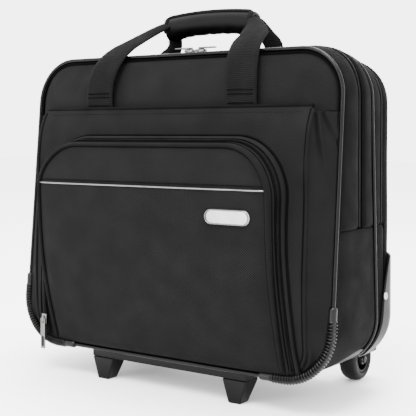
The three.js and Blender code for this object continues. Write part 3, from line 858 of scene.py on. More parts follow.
# ---- laptop compartment
def back_inset(nz):
    """How far the rear edge turns in: fully at the sides and top, little underneath."""
    return BACK_ROUND * (1 - 0.85 * step(-nz, 0.45, 1.0))


TURN_Y = BACK_Y - BACK_ROUND
rear_upper = with_end_rows(REAR.upper(SEAM_Z))
laptop_wall = wall("laptop_front_band", REAR, rear_upper, REAR_SEAM_Y, level(LAPTOP_ZIP_Y - LAPTOP_GAP),
                   1.0, 0.8, (0.4, 6.5))
put(laptop_wall, "case", "body_fabric")


def zip_edge_band(name, s, near, far):
    """A plain band beside the laptop zip, tucked in along its near edge."""
    v = sharp_spread(4, 0.12)[None]
    depth = near * (1 - v) + far * v + 0 * s[:, None]
    out = -1.6 * np.exp(-((depth - near) / 1.5) ** 2) - turned_in(s)
    return skin(name, REAR, s, depth, out, TWILL_FINE_SHADED)


put(zip_edge_band("laptop_rear_band", rear_upper, LAPTOP_ZIP_Y + LAPTOP_GAP, SEAM_STOP),
    "case", "body_fabric", "rear_top_gusset")
zip_tape("laptop_zip_tape", REAR, rear_upper, LAPTOP_ZIP_Y - 4.5, LAPTOP_ZIP_Y + 4.5, laptop_zip_out, "case")
zip_coils(REAR.line(teeth_run(rear_upper), LAPTOP_ZIP_Y, -0.4),
          (("laptop_zip_coil", 1, "case"), ("laptop_zip_coil_far", -1, "case")), reach=1.2)
put(wall("rear_lower_band", REAR, REAR.lower(SEAM_Z - 0.6), REAR_SEAM_Y, level(SEAM_STOP), 1.0, 0),
    "case", "body_fabric", "rear_side_left", "rear_side_right")


def turned_corner(name, s):
    """The wall from its flat part round the upright or top rear corner to the back panel."""
    x, z, _, nz = REAR.at(s)
    v = np.concatenate([[0, 0.06], np.linspace(0.14, 1, 12)])[None]
    flat = 0.1  # share of the width that is still flat
    turn = np.clip((v - flat) / (1 - flat), 0, 1) * math.pi / 2
    inset = back_inset(nz)[:, None]
    before = SEAM_STOP + (TURN_Y - SEAM_STOP) * np.clip(v / flat, 0, 1)
    depth = np.where(turn > 0, TURN_Y + BACK_ROUND * np.sin(turn), before)
    out = -inset * (1 - np.cos(turn)) + ripple(x[:, None], depth, z[:, None], 0.35)
    outer = band_points(REAR, s, depth, out)
    inner = band_points(REAR, s, depth - CLOTH * np.sin(turn), out - CLOTH * np.cos(turn))
    return shell(name, outer, inner, TWILL_FINE_SHADED)


bezel_edge = BEZEL[1][0] + 0.6
right_s = np.linspace(0, REAR.length / 2 - bezel_edge, 110)
put(turned_corner("rear_corner_right", right_s), "case", "body_fabric")
put(turned_corner("rear_corner_left", REAR.length - right_s[::-1]), "case", "body_fabric")


def back_outline(s):
    """The back panel's outline in (x, z), with a notch for the trolley's bezel."""
    x, z, nx, nz = REAR.at(s)
    inset = back_inset(nz)
    x, z = x - nx * inset, z - nz * inset
    notch = (np.abs(x) < bezel_edge) & (z > 300)
    return np.stack([x, np.where(notch, BEZEL[0][2] - 0.6, z)], 1)


def back_height(x, z):
    across = np.clip(1 - (np.abs(x) / 185) ** 6, 0, 1) * np.clip(1 - (np.abs(z - 200) / 158) ** 6, 0, 1)
    return BACK_Y - 0.4 + 2.6 * across + ripple(x, 0 * x, z, 0.3)


def back_face_y(x, z):
    return back_height(x, z) + back_swell(x, z)


back_s = REAR.whole(6)
back_edge = back_outline(back_s)
back_swell = swollen(back_edge, back_height, 3.2, outward=1)
back = plate("back_pad", back_edge, back_face_y, TWILL, thick=-2.6, edge_drop=-1.2)
put(back, "case", "body_fabric", "back_panel")
back_seam = np.insert(back_edge, 1, BACK_Y + 0.2, axis=1)
put(sweep("back_seam_cord", back_seam, REAR.outward(back_s), Y_AXIS, round_profile(1.8, 10), BINDING, True),
    "case", "binding")

# ---- front panel
fx, fz, fnx, fnz = CASE.at(CASE.whole(6))
front_edge = np.stack([fx, fz], 1) - np.stack([fnx, fnz], 1) * 3.4
STRAP_BOXES = [(low[0] - 4, high[0] + 4, 290, 360)
               for low, high in (node_box("front_strap_left"), node_box("front_strap_right"))]
front_swell = swollen(front_edge, front_panel_y, 1.6, STRAP_BOXES)


def front_face_y(x, z):
    return front_panel_y(x, z) + ripple(x, 0 * x, z, 0.5) - front_swell(x, z)


front = plate("front_panel_pad", front_edge, front_face_y, TWILL,
              thick=3, rings=34, edge_drop=2.2, edge_width=2.2)
put(front, FRONT, "body_fabric", "front_panel")


# ---- slip pocket
def on_face(x, z, height, lift):
    """Points at x and z, lift behind the face height(x, z)."""
    x, z = np.broadcast_arrays(np.asarray(x, float), np.asarray(z, float))
    return np.stack([x, height(x, z) + lift, z], 1)


POCKET = Loop(POCKET_HALF, POCKET_LOW, POCKET_HIGH, 4, 30)
px, pz, _, _ = POCKET.at(POCKET.whole(5))
pocket_outline = np.stack([px, pz], 1)
pocket_swell = swollen(pocket_outline, pocket_face_y, 2.6)


def pocket_skin_y(x, z):
    return pocket_face_y(x, z) + ripple(x, 0 * x, z, 0.4) - pocket_swell(x, z)


pocket = plate("slip_pocket_face", pocket_outline, pocket_skin_y, TWILL, thick=1.8, rings=44)
put(pocket, FRONT, "body_fabric", "slip_pocket")


hem_x = np.linspace(-POCKET_HALF, POCKET_HALF, 90)
hem_profile = round_profile(1.7, 10, 1.3)
hem_line = on_face(hem_x, POCKET_HIGH - 0.6, pocket_skin_y, 0.9)
put(sweep("slip_pocket_hem", hem_line, Y_AXIS, Z_AXIS, hem_profile, TWILL_FINE_SHADED), FRONT, "binding")


def pocket_gusset(name, side):
    """Folded cloth from the pocket's bound edge back to the front piping, creased near its top."""
    count = 110
    inner_s = np.linspace(POCKET.s_at(POCKET_LOW + 0.2) - 8, POCKET.s_at(POCKET_HIGH - 6), count)
    case_in = Loop(HALF, LOW, HIGH, R_TOP, R_LOW, -1.6)
    outer_s = np.linspace(case_in.s_at(LOW + 1.8) - 2, case_in.s_at(313), count)
    x, z, _, _ = POCKET.at(inner_s)
    start = np.stack([x, pocket_face_y(x, z) + 1.2, z], 1)[:, None]
    end = case_in.line(outer_s, shifted(front_y, 0.6))[:, None]
    z = z[:, None]
    v = np.linspace(0, 1, 30)[None]
    points = start * (1 - v[..., None]) + end * v[..., None]
    up = step(z, 236, 312)
    low = 1 - step(z, 60, 110)
    fold = np.sin(np.pi * v) * (1.5 + 3.5 * up)
    held = np.sin(np.pi * v) ** 0.5
    crease_top, crease_run = 316, 75
    for place, lean, depth in ((0.1, 0.55, 6.0), (0.3, 1.5, 4.5)):
        line = place + (crease_top - z) / crease_run * lean
        crease = np.exp(-((v - line) / 0.06) ** 2) - 0.7 * np.exp(-((v - line - 0.13) / 0.08) ** 2)
        fold = fold + up * held * depth * crease
    fold = fold + low * 1.8 * np.sin(2.5 * np.pi * v + z / 8)
    points[..., 1] += fold * 0.8
    points[..., 0] -= fold * 0.45
    inner = points + np.array([-0.7, 1.4, 0])
    for grid in (points, inner):
        grid[..., 0] *= side
    return shell(name, points, inner, TWILL)


bound_s = np.linspace(POCKET.s_at(POCKET_LOW + 0.2) - 20, POCKET.s_at(POCKET_HIGH - 4), 90)


def bound_edge(name, side):
    x, z, nx, nz = POCKET.at(bound_s)
    centres = np.stack([(x + nx * 0.6) * side, pocket_face_y(x, z) + 0.7, z + nz * 0.6], 1)
    outward = POCKET.outward(bound_s) * [side, 1, 1]
    return sweep(name, centres, outward, Y_AXIS, round_profile(1.9, 10, 0.8), BINDING)


for word, side in SIDES:
    gusset = pocket_gusset(f"slip_gusset_fold_{word}", side)
    put(gusset, FRONT, "body_fabric", f"slip_gusset_{word}")
    put(bound_edge(f"slip_pocket_edge_{word}", side), FRONT, "binding")

# ---- organizer pocket
flap_s = FLAP.upper(44, 4)
wall_splay = hermite([(42, 24), (76, 20.5), (108, 17.8), (139, 14.7),
                      (165, 11.5), (192, 9.5), (240, 10), (290, 11.5)])


def organizer_grid(s, places, outs):
    """Points across the organizer's wall: places run 0 at the flap to 1 at the pocket, lifted by outs."""
    x, z, nx, nz = FLAP.at(s)
    splay = wall_splay(z)
    far_x, far_z = x + nx * splay, z + nz * splay
    near = np.stack([x + nx * 1.2, flap_y(z) + 3.0, z + nz * 1.2], 1)
    far = np.stack([far_x, pocket_skin_y(far_x, far_z) - 0.6, far_z], 1)
    along = far - near
    inward = np.stack([nx, 0 * nx, nz], 1)
    normal = inward * along[:, 1:2] - np.array([0, 1.0, 0]) * (along * inward).sum(1)[:, None]
    normal /= np.linalg.norm(normal, axis=1)[:, None]
    v = np.asarray(places)[None, :, None]
    return near[:, None] * (1 - v) + far[:, None] * v + normal[:, None] * np.asarray(outs)[None, :, None]


def organizer_strip(name, first, last):
    """A band of the organizer's wall between two places across it, sewn down at both edges."""
    v = sharp_spread(5, 0.12)
    places = first + (last - first) * v
    outs = np.sin(np.pi * v) + seamed(v, 10, 1.0)
    outer, inner = (organizer_grid(flap_s, places, lift) for lift in (outs, outs - 1.6))
    return put(shell(name, outer, inner, TWILL), FRONT, "body_fabric")


organizer_strip("organizer_wall_near", 0.0, 0.40)
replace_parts(organizer_strip("organizer_wall_far", 0.66, 1.0), "organizer_gusset")
tape_places = np.linspace(0.36, 0.70, 5)
tape_skins = [organizer_grid(flap_s, tape_places, np.full(5, lift)) for lift in (-0.9, -1.7)]
put(shell("organizer_zip_tape", *tape_skins, TAPE), FRONT, "zip_tape")
organizer_line = organizer_grid(np.linspace(flap_s[0], flap_s[-1], 500), [0.53], [0.4])[:, 0]
zip_coils(organizer_line, (("organizer_zip_coil_near", -1, FRONT),
                           ("organizer_zip_coil_far", 1, FRONT)), 1.5, 1.7)

FOLD = (FRONT, "organizer_flap", (0, -87, 42), (0, -87, 54))
badge_low, badge_high = node_box("badge")
BADGE_BOX = (badge_low[0] - 5, badge_high[0] + 5, badge_low[2] - 5, badge_high[2] + 5)
ex, ez, _, _ = FLAP.at(FLAP.whole(4))
flap_outline = np.stack([ex, ez], 1)


def flap_plain_y(x, z):
    return flap_y(z)


flap_swell = swollen(flap_outline, flap_plain_y, 2.6, [BADGE_BOX])


def flap_face_y(x, z):
    return flap_y(z) + ripple(x, 0 * x, z, 0.35) - flap_swell(x, z)


flap = plate("organizer_flap_face", flap_outline, flap_face_y, TWILL,
             thick=CLOTH, rings=44, edge_drop=2.4, edge_width=7)
put_between(flap, *FOLD, "body_fabric", "flap_panel")
flap_cord_line = FLAP.line(flap_s, shifted(flap_y, 1.6), 1.5)
flap_cord = sweep("organizer_flap_cord", flap_cord_line, FLAP.outward(flap_s), Y_AXIS,
                  round_profile(2.3, 12), BINDING)
put_between(flap_cord, *FOLD, "binding", "flap_piping")

strip_low, strip_high = node_box("silver_strip")
strip_x = np.linspace(-FLAP_HALF + 0.5, FLAP_HALF - 0.5, 80)
strip_z = (strip_low[2] + strip_high[2]) / 2
rim_drop = 2.4 * np.exp(-((FLAP_HALF - np.abs(strip_x)) / 7) ** 2)
strip_line = on_face(strip_x, strip_z, flap_face_y, rim_drop - 0.9)
put(sweep("silver_piping", strip_line, Y_AXIS, Z_AXIS, round_profile(1.0, 10), SILVER_CORD),
    "organizer_flap", "chrome", "silver_strip")
BADGE_MIDDLE = (badge_low + badge_high) / 2
BADGE_HALF = (badge_high - badge_low) / 2


def badge_outline(inset):
    """A round-ended outline of (x, z) points."""
    angles = np.linspace(0, 2 * math.pi, 96, endpoint=False)
    radius = BADGE_HALF[2] - inset
    x = (BADGE_HALF[0] - BADGE_HALF[2]) * np.sign(np.cos(angles)) + radius * np.cos(angles)
    return np.stack([x + BADGE_MIDDLE[0], BADGE_MIDDLE[2] + radius * np.sin(angles)], 1)


def badge_plate():
    """The blank badge: a shallow dish inside a rounded edge."""
    return plate("blank_badge", badge_outline(0), lambda x, z: badge_low[1] + 0.3 + 0 * x, STEEL,
                 thick=BADGE_HALF[1] * 2 - 0.4, rings=12, edge_drop=1.0, edge_width=1.2,
                 middle_x=BADGE_MIDDLE[0])


def badge_rim():
    """A raised bright rim round the blank badge."""
    line = badge_outline(0.9)
    points = np.stack([line[:, 0], np.full(len(line), badge_low[1] + 0.1), line[:, 1]], 1)
    return cord("badge_rim", points, 0.75, NICKEL, True)


put(badge_plate(), "organizer_flap", "steel", "badge")
put(badge_rim(), "organizer_flap", "chrome")
stitches("flap_stitches", [strip_line + np.array([0, 0.15, 4.2])], (0, 0, 1), "organizer_flap", 3.6, 2.6, 1.2)


# ---- inside the organizer
CARD = Loop(112, 72, 176, 3, 10)
LOOPS_X = (-96, -74, -52)
LOOPS_Z = 206


def card_height(x, z):
    """The card pocket's depth: two slack halves either side of its middle seam."""
    slack = 1.8 * np.abs(np.sin(math.pi * x / 112)) ** 0.5 * step(z, 76, 150)
    return pocket_skin_y(x, z) - 1.6 - slack


def card_pocket():
    """A flat lined pocket behind the flap, sewn down round its sides and foot and along its middle."""
    x, z, _, _ = CARD.at(CARD.whole(4))
    face = plate("card_pocket", np.stack([x, z], 1), card_height, LINING, thick=1.0)
    mouth = on_face(np.linspace(-111, 111, 80), 175, card_height, 0.4) + [0, 0, 0.5]
    seam = on_face(0, np.linspace(76, 172, 40), card_height, -0.1)
    put(face, FRONT, "body_fabric")
    put(cord("card_pocket_hem", mouth, 1.4, BINDING), FRONT, "binding")
    stitches("card_pocket_seam", [seam], X_AXIS, FRONT)


def pen_loop(name, middle):
    """An elastic loop standing off the pocket between two sewn ends."""
    t = np.linspace(-1, 1, 25)
    x = middle + 8 * t
    line = on_face(x, LOOPS_Z, pocket_skin_y, -0.6 - 7.5 * (1 - t**2) ** 0.8)
    side_way = np.cross(unit(np.gradient(line, axis=0)), Z_AXIS)
    return sweep(name, line, Z_AXIS, side_way, box_profile(24, 1.0, 0.3), WEBBING)


card_pocket()
for number, middle in enumerate(LOOPS_X, 1):
    put(pen_loop(f"pen_loop_{number}", middle), FRONT, "webbing")


# ---- carry handle
def spline(points, count):
    """A smooth run through control points, any number of columns."""
    points = np.asarray(points, float)
    s = run_lengths(points[:, :3])
    places = np.linspace(0, s[-1], count)
    return np.stack([hermite(np.stack([s, points[:, k]], 1))(places) for k in range(points.shape[1])], 1)


def strap(name, middle, route, side):
    """Webbing with crosswise ribs along a route whose rows start at x = middle."""
    thick, rib, pitch, rings_per_rib = 1.9, 0.3, 2.2, 4
    route = np.array(route) + [middle, 0, 0, 0, 0]
    count = int(float(run_lengths(route[:, :3])[-1]) / (pitch / rings_per_rib))
    rows = spline(route, count)
    centres = rows[:, :3].copy()
    along = unit(np.gradient(centres, axis=0))
    wide = square_to(np.array([X_AXIS]), along)
    out = np.cross(wide, along)
    ribs = np.cos(2 * math.pi * np.arange(count) / rings_per_rib)
    section = box_profile(1.0, 1.0, 0.12)
    profile = np.repeat(section[None], count, axis=0)
    curl = rows[:, 4][:, None] * (1 - (2 * section[:, 0][None]) ** 2)
    profile[:, :, 1] = section[None, :, 1] * (thick + rib * ribs[:, None]) + curl
    profile[:, :, 0] = section[None, :, 0] * rows[:, 3][:, None]
    mirror = np.array([side, 1, 1])
    return sweep(name, centres * mirror, wide * mirror, out * mirror, profile, WEBBING)


grip_high = node_box("grip_wrap")[1]
GRIP_Y = (node_box("front_grip_strap")[0][1] + node_box("rear_grip_strap")[1][1]) / 2
GRIP_R = 14.0
GRIP_Z = grip_high[2] - GRIP_R
GRIP_HALF = grip_high[0]
GRIP_DROOP = 4.0
GRIP_END_R, GRIP_FULLER = 11.2, 2.4  # radius at its ends, and how much fuller it is between
BASE_X = node_box("front_strap_right")[1][0] - 20
REAR_X = node_box("rear_strap_right")[1][0] - 20
# Rows of the straps: x from the middle of the sewn end, y, z, width and curl.
FRONT_ROUTE_RIGHT = [
    (0, -69.5, 298, 40, 0), (0, -72.5, 318, 40, 0), (0, -73.2, 336, 40, 0.3),
    (-1, -71.5, 352, 40, 0.5), (-3, -66.5, 367, 39.8, 0.8), (-6, -57.5, 381, 39, 1.2),
    (-9, -45, 392, 38, 1.8), (-12, -30, 400.5, 35.5, 2.6), (-20, -15, 409, 28, 3.4),
    (-28, -2, 416, 20, 3.8), (-36, 6.5, 421, 17, 3.6), (-45, 12, 423.5, 15, 3),
    (-52, 13, 423.5, 13, 2),
]
FRONT_ROUTE_LEFT = [
    (0, -69.5, 298, 40, 0), (0, -72.5, 318, 40, 0), (0, -73.2, 336, 40, 0.3),
    (-1, -71.5, 352, 40, 0.5), (-4, -66.5, 367, 39.5, 0.8),
    (-8.5, -57.5, 381, 38, 1.2), (-13.5, -45, 392, 35.5, 1.6),
    (-19, -30, 401, 31.5, 2.2), (-25, -15, 409.5, 27, 3),
    (-32, -2, 417, 23, 3.6), (-38, 6.5, 421.5, 19.5, 3.6), (-45, 12, 423.5, 16, 3),
    (-52, 13, 423.5, 14, 2),
]


REAR_ROUTE_LEFT = [
    (0, 25.5, 370, 36, 0), (-3, 26, 381, 30, 1), (-11, 26.5, 390, 23, 2.2),
    (-16, 26, 400, 20, 3), (-17, 24.5, 410, 20, 3.4), (-19, 23, 418, 19, 3),
    (-23, 21.6, 422, 15, 2.4), (-29, 21, 423.5, 12, 1.4),
]
REAR_ROUTE_RIGHT = [
    (0, 25.5, 370, 40, 0), (1, 26, 382, 35, 0.6), (2, 26.5, 392, 25, 1.6),
    (-4, 26, 402, 20, 2.6), (-10, 24.5, 411, 18, 3), (-15, 23, 418, 16, 2.8),
    (-20, 21.6, 422, 14, 2.4), (-29, 21, 423.5, 12, 1.4),
]
for word, side, front_route, rear_route in (("right", 1, FRONT_ROUTE_RIGHT, REAR_ROUTE_RIGHT),
                                            ("left", -1, FRONT_ROUTE_LEFT, REAR_ROUTE_LEFT)):
    put_between(strap(f"front_webbing_{word}", BASE_X, front_route, side), FRONT, "carry_handle",
                (0, 0, 376), (0, 0, 416), "webbing", f"front_strap_{word}")
    put_between(strap(f"rear_webbing_{word}", REAR_X, rear_route, side), "case", "rear_loop",
                (0, 0, 385), (0, 0, 416), "webbing", f"rear_strap_{word}")
for node, body in (("front_grip_strap", "carry_handle"), ("rear_grip_strap", "rear_loop")):
    show(node, WEBBING, body, "webbing", 0.5)


def bow(x):
    return -GRIP_DROOP * (x / GRIP_HALF) ** 2


def grip_end(x):
    """0 at the wrap's ends, rounding up to 1 further in."""
    gap = GRIP_HALF - np.abs(x)
    return np.sqrt(np.clip(1 - (1 - np.clip(gap / 8, 0, 1)) ** 2, 0, 1))


def grip_section(x, radius, thick):
    """The wrap's C-shaped section: open towards the back, fuller below, more so at its ends."""
    slot = math.radians(36)
    angles = np.linspace(slot, 2 * math.pi - slot, 30)
    flare = 0.05 + 0.2 * float(step(abs(x) / GRIP_HALF, 0.5, 0.92))
    swell_below = 1 + flare * np.clip(-np.sin(angles), 0, 1)
    outer = np.stack([radius * np.cos(angles), radius * swell_below * np.sin(angles)], 1)
    inner = np.stack([(radius - thick) * np.cos(angles), (radius - thick) * np.sin(angles)], 1)[::-1]
    return np.concatenate([outer, inner])


def grip_pad():
    ends = np.array([0, 0.4, 1.2, 2.6, 5, 8])
    middle = np.linspace(-GRIP_HALF + 12, GRIP_HALF - 12, 60)
    xs = np.concatenate([ends - GRIP_HALF, middle, GRIP_HALF - ends[::-1]])
    sections = []
    for x, full in zip(xs, grip_end(xs)):
        pucker = 0.35 * math.sin(x / 2.9) + 0.25 * math.sin(x / 1.7 + 1)
        section = grip_section(x, GRIP_END_R + GRIP_FULLER * full, 2.6 + 1.8 * full)
        under = np.clip(-section[:, 1] / 12, 0, 1) ** 2
        sections.append(section * (1 + (under * pucker * 0.05)[:, None]))
    centres = np.stack([xs, np.full_like(xs, GRIP_Y), GRIP_Z + bow(xs)], 1)
    return sweep("grip_pad", centres, Y_AXIS, Z_AXIS, np.array(sections), LEATHER)


grip = grip_pad()
put(grip, "carry_handle", "grip_padding", "grip_wrap")


def grip_surface(x, angle, lift):
    """A point on the wrap's outside. The angle runs from the back, over the top, to the front."""
    radius = GRIP_END_R + GRIP_FULLER * grip_end(x) + lift
    return np.stack([x, GRIP_Y + radius * np.cos(angle), GRIP_Z + bow(x) + radius * np.sin(angle)], -1)


def grip_binding():
    """The wrap's bound edge: along the top, then down round both ends."""
    run = np.linspace(-1, 1, 90)
    x = (GRIP_HALF - 2.2) * np.sign(run) * np.minimum(np.abs(run) * 1.35, 1)
    line = grip_surface(x, math.radians(114) + math.radians(95) * step(np.abs(run), 0.68, 1.0), 0.5)
    along = unit(np.gradient(line, axis=0))
    out = square_to(line - np.stack([x * 0.96, np.full_like(x, GRIP_Y), GRIP_Z + bow(x)], 1), along)
    return sweep("grip_binding", line, np.cross(along, out), out, box_profile(5.4, 3.2, 1.1), BINDING)


put(grip_binding(), "carry_handle", "binding")


def strap_rows(side, half=17.0, lift=1.5):
    """Three rows of thread across a front strap where it is sewn to the panel."""
    lines = []
    for z in (323.5, 333, 337.5):
        y = float(np.interp(z, [r[2] for r in FRONT_ROUTE_LEFT[:6]], [r[1] for r in FRONT_ROUTE_LEFT[:6]]))
        x = np.linspace(side * BASE_X - half, side * BASE_X + half, 12)
        lines.append(np.stack([x, np.full(12, y - lift), np.full(12, z)], 1))
    return lines


stitches("strap_stitches", strap_rows(1) + strap_rows(-1), Z_AXIS, FRONT, 3.0, 2.3, 1.6)


# ---- feet, guards and wheels
for node, bevel in (("foot_right", 1.6), ("foot_left", 1.6), ("foot_bar", 0.9)):
    show(node, PLASTIC, "case", "black_plastic", bevel, 3)
guard_edge_y = hermite([(30, 36), (56, 31.5), (80, 32), (104, 35.5), (132, 43), (158, 53)])


def corner_guard(name, side):
    """A thin moulded plate over the lower rear corner, from its slanting front edge round to the back."""
    s = np.linspace(REAR.s_at(47), REAR.s_at(157), 50)
    x, z, nx, nz = REAR.at(s)
    x, z = x + nx * GUARD_OUT, z + nz * GUARD_OUT
    start = guard_edge_y(z)[:, None]
    v = np.linspace(0, 1, 40)[None]
    flat = 0.35  # share of the width before the plate turns
    turn_radius = BACK_ROUND + 1.8
    flat_end = np.maximum(start, TURN_Y)
    first_turn = np.arcsin(np.clip((start - TURN_Y) / turn_radius, 0, 1))
    turn = first_turn + (math.pi / 2 - first_turn) * np.clip((v - flat) / (1 - flat), 0, 1)
    y = np.where(v < flat, start + (flat_end - start) * v / flat, TURN_Y + turn_radius * np.sin(turn))
    inset = BACK_ROUND * (1 - np.cos(turn)) * (v >= flat)
    rim = np.minimum(np.minimum(v * 60, (1 - v) * 60), np.minimum(s - s[0], s[-1] - s)[:, None])
    proud = 1.6 * (1 - np.clip(1 - rim / 1.6, 0, 1) ** 2) ** 0.5 - 1.6

    def place(out):
        across = x[:, None] - inset + out * np.cos(turn)
        return np.stack([across * side, y + out * np.sin(turn), z[:, None] + 0 * y], -1)
    return shell(name, place(proud), place(-2.6 + 0 * proud), PLASTIC)


for word, side in SIDES:
    put(corner_guard(f"corner_guard_{word}", side), "case", "black_plastic")
    put(moulded_copy(f"wheel_housing_{word}", PLASTIC, 1.6), "case", "black_plastic", f"wheel_housing_{word}")


def turned(name, profile, centre, mat, count=48):
    """A closed (radius, x) profile turned about an axis along X."""
    angles = np.linspace(0, 2 * math.pi, count, endpoint=False)
    r, x = np.asarray(profile, float).T
    cos, sin = np.cos(angles)[:, None], np.sin(angles)[:, None]
    points = np.stack([x[None] + 0 * cos, r[None] * cos, r[None] * sin], -1) + np.asarray(centre, float)
    faces = grid_faces(count, len(profile), True, True)
    return new_object(name, points.reshape(-1, 3), faces, mat)


def wheel(word, side):
    """A tyre, a rim with five spokes, a boss with a clear bore, and the axle with its cap."""
    body = f"wheel_{word}"
    low, high = node_box(f"wheel_tyre_{word}")
    centre = (low + high) / 2
    r, half = (high[2] - low[2]) / 2, (high[0] - low[0]) / 2
    bore = 3.7
    rim = r - 9
    ring = rim - 0.3
    crown = [(r - 3.2 * (1 - math.cos(a)), (half - 1.2) * math.sin(a)) for a in np.linspace(-1.35, 1.35, 15)]
    tyre = [(rim, 1 - half), (r - 5.5, -half), *crown, (r - 5.5, half),
            (rim, half - 1), (rim, half - 3), (rim, 3 - half)]
    hub = [(ring - 2.4, -half + 1.4), (ring, -half + 1.4), (ring, half - 1.4), (ring - 2.4, half - 1.4),
           (ring - 2.9, half - 2.2), (ring - 2.9, -half + 2.2)]
    boss = [(bore, -half + 0.6), (6, -half + 0.6), (6.6, -half + 1.2),
            (6.6, half - 1.2), (6, half - 0.6), (bore, half - 0.6)]
    cap = [(0.05, 0), (4.6, 0), (4.6, side * 1.0), (3.6, side * 1.7), (0.05, side * 1.9)]
    put(turned(f"tyre_{word}", tyre, centre, RUBBER, 64), body, "tyre", f"wheel_tyre_{word}")
    put(turned(f"wheel_rim_{word}", hub, centre, PLASTIC), body, "black_plastic", f"wheel_hub_{word}")
    put(turned(f"wheel_boss_{word}", boss, centre, PLASTIC), body, "black_plastic")
    angles = 2 * math.pi * np.arange(5) / 5 + math.pi / 2
    spokes = np.stack([0 * angles, np.cos(angles), np.sin(angles)], 1)
    put(little_boxes(f"wheel_spokes_{word}", centre + spokes * (6.2 + ring - 2.6) / 2, spokes, X_AXIS,
                     (ring - 7.6, 2 * half - 5, 4.4), PLASTIC, False), body, "black_plastic")
    show(f"wheel_axle_{word}", STEEL, "case", "steel", 0.4)
    cap_place = (centre[0] + side * (half + 0.4), centre[1], centre[2])
    put(turned(f"axle_cap_{word}", cap, cap_place, PLASTIC, 32), "case", "black_plastic")


for word, side in SIDES:
    wheel(word, side)
    rivet = [(0.05, 0), (4.2, 0), (4.0, side * 0.9), (2.6, side * 1.8), (0.05, side * 2.2)]
    rivet_place = (side * (HALF + GUARD_OUT - 0.5), 40.5, 112)
    put(turned(f"guard_rivet_{word}", rivet, rivet_place, STEEL, 28), "case", "steel")


def base_leaf(name, side):
    """The moulded edge of the base tray, showing between the front sleeve and the middle piping."""
    y = np.linspace(-58, 22, 40)
    t = (y + 58) / 80
    top_angle = np.radians(-84 + 44 * np.sin(t * math.pi * 0.62))
    v = np.linspace(0, 1, 14)[None]
    angle = math.radians(-97) * (1 - v) + top_angle[:, None] * v
    dome = 1.3 + 0.9 * np.sin(np.pi * v)
    cx, cz = HALF - R_LOW, LOW + R_LOW
    def place(out):
        r = R_LOW + out
        return np.stack([(cx + r * np.cos(angle)) * side, y[:, None] + 0 * angle, cz + r * np.sin(angle)], -1)
    return shell(name, place(dome), place(dome - 1.2), PLASTIC)


for word, side in SIDES:
    put(base_leaf(f"base_tray_edge_{word}", side), "case", "black_plastic")


# ---- trolley
for word, _ in SIDES:
    for kind, body in (("outer", "case"), ("middle", "trolley_stage_1"), ("inner", "trolley_stage_2")):
        show(f"trolley_{kind}_tube_{word}", ALUMINIUM, body, "aluminium", 0.25)
TROLLEY_PLASTIC = (
    ("trolley_bezel", PLASTIC, "case", 1.2, 3),
    ("trolley_bracket", PLASTIC, "case", 0.8, 2),
    ("trolley_grip", PLASTIC, "trolley_stage_2", 0.5, 2),
    ("release_button", PLASTIC_ROUGH, "lock_button", 1.0, 3),
)
for node, mat, body, bevel, segments in TROLLEY_PLASTIC:
    show(node, mat, body, "black_plastic", bevel, segments)
for node, mat in (("base_board", PLASTIC), ("divider_panel", LINING), ("trolley_lining", LINING)):
    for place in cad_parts[node].material_slots:
        place.material = mat

# ---- zip sliders and pulls
for node, body in (("main_slider_right", "zip_car_right"), ("main_slider_left", "zip_car_left"),
                   ("laptop_slider", "laptop_zip_car"), ("organizer_slider", "organizer_zip_car"),
                   ("main_pull_right", "zip_tab_right"), ("main_pull_left", "zip_tab_left"),
                   ("laptop_pull", "laptop_zip_tab"), ("organizer_pull", "organizer_zip_tab")):
    show(node, NICKEL, body, "chrome", 0.45)
pull_low, pull_high = node_box("organizer_pull")
insert_centre = [*((pull_low + pull_high) / 2)[:2], pull_low[2] + 9]
insert_size = (14, 6.2, pull_high[1] - pull_low[1] + 1.6)
put(little_boxes("organizer_pull_insert", [insert_centre], Z_AXIS, X_AXIS, insert_size, RUBBER),
    "organizer_zip_tab", "tyre")

# ---- more stitching, and painted shade lines along seams, grooves and zip edges
hem_stitch_line = on_face(hem_x, POCKET_HIGH - 7, pocket_skin_y, -0.15)[3:-3]
stitches("pocket_hem_stitches", [hem_stitch_line], Z_AXIS, FRONT, 3.4, 2.3, 0.5)


# A near-black cord in the thread material, laid along a seam, groove or zip edge: a painted shade line.
def painted_shade_line(name, points, body, radius, closed=False):
    put(cord(name, points, radius, THREAD_AND_SHADE, closed), body, "thread")


def inside_line(loop, s, offset, height, drop):
    """A line set in from an outline by offset and held at height(x, z)."""
    x, z, nx, nz = loop.at(s)
    return on_face(x - nx * offset, z - nz * offset, height, drop)


# Painted shade: a dark cord along the inside of the flap's edge cord.
flap_shade_path = inside_line(FLAP, flap_s, 0.9, flap_plain_y, 1.7)
put_between(cord("flap_edge_shade", flap_shade_path, 0.9, THREAD_AND_SHADE), *FOLD, "thread")
# Painted shade lines beside the flap cord, along both edges of the organizer's zip tape, and where its wall
# meets the pocket.
for name, place, lift, radius in (("near", 0.2, 0.7, 0.9), ("tape_near", 0.385, 0.3, 0.5),
                                  ("tape_far", 0.675, 0.3, 0.5), ("far", 1.0, 0.8, 1.1)):
    seam = organizer_grid(flap_s, [place], [lift])[:, 0]
    painted_shade_line(f"organizer_shade_{name}", seam, FRONT, radius)
# Painted shade lines: dark cords on both sides of the front and middle piping.
PIPING_SHADE_LINES = (
    ("front_piping_inner_shade", 3.3, front_y, 0.9, FRONT, 1.0),
    ("front_piping_outer_shade", 0.5, front_y, 3.9, FRONT, 0.8),
    ("middle_piping_front_shade", 0.6, mid_y, -2.6, "case", 0.8),
    ("middle_piping_rear_shade", 0.6, mid_y, 2.6, "case", 0.8),
)
for name, offset, depth, drop, body, radius in PIPING_SHADE_LINES:
    seam = inside_line(CASE, CASE.whole(5), offset, lambda x, z: depth(z), drop)
    painted_shade_line(name, seam, body, radius, True)
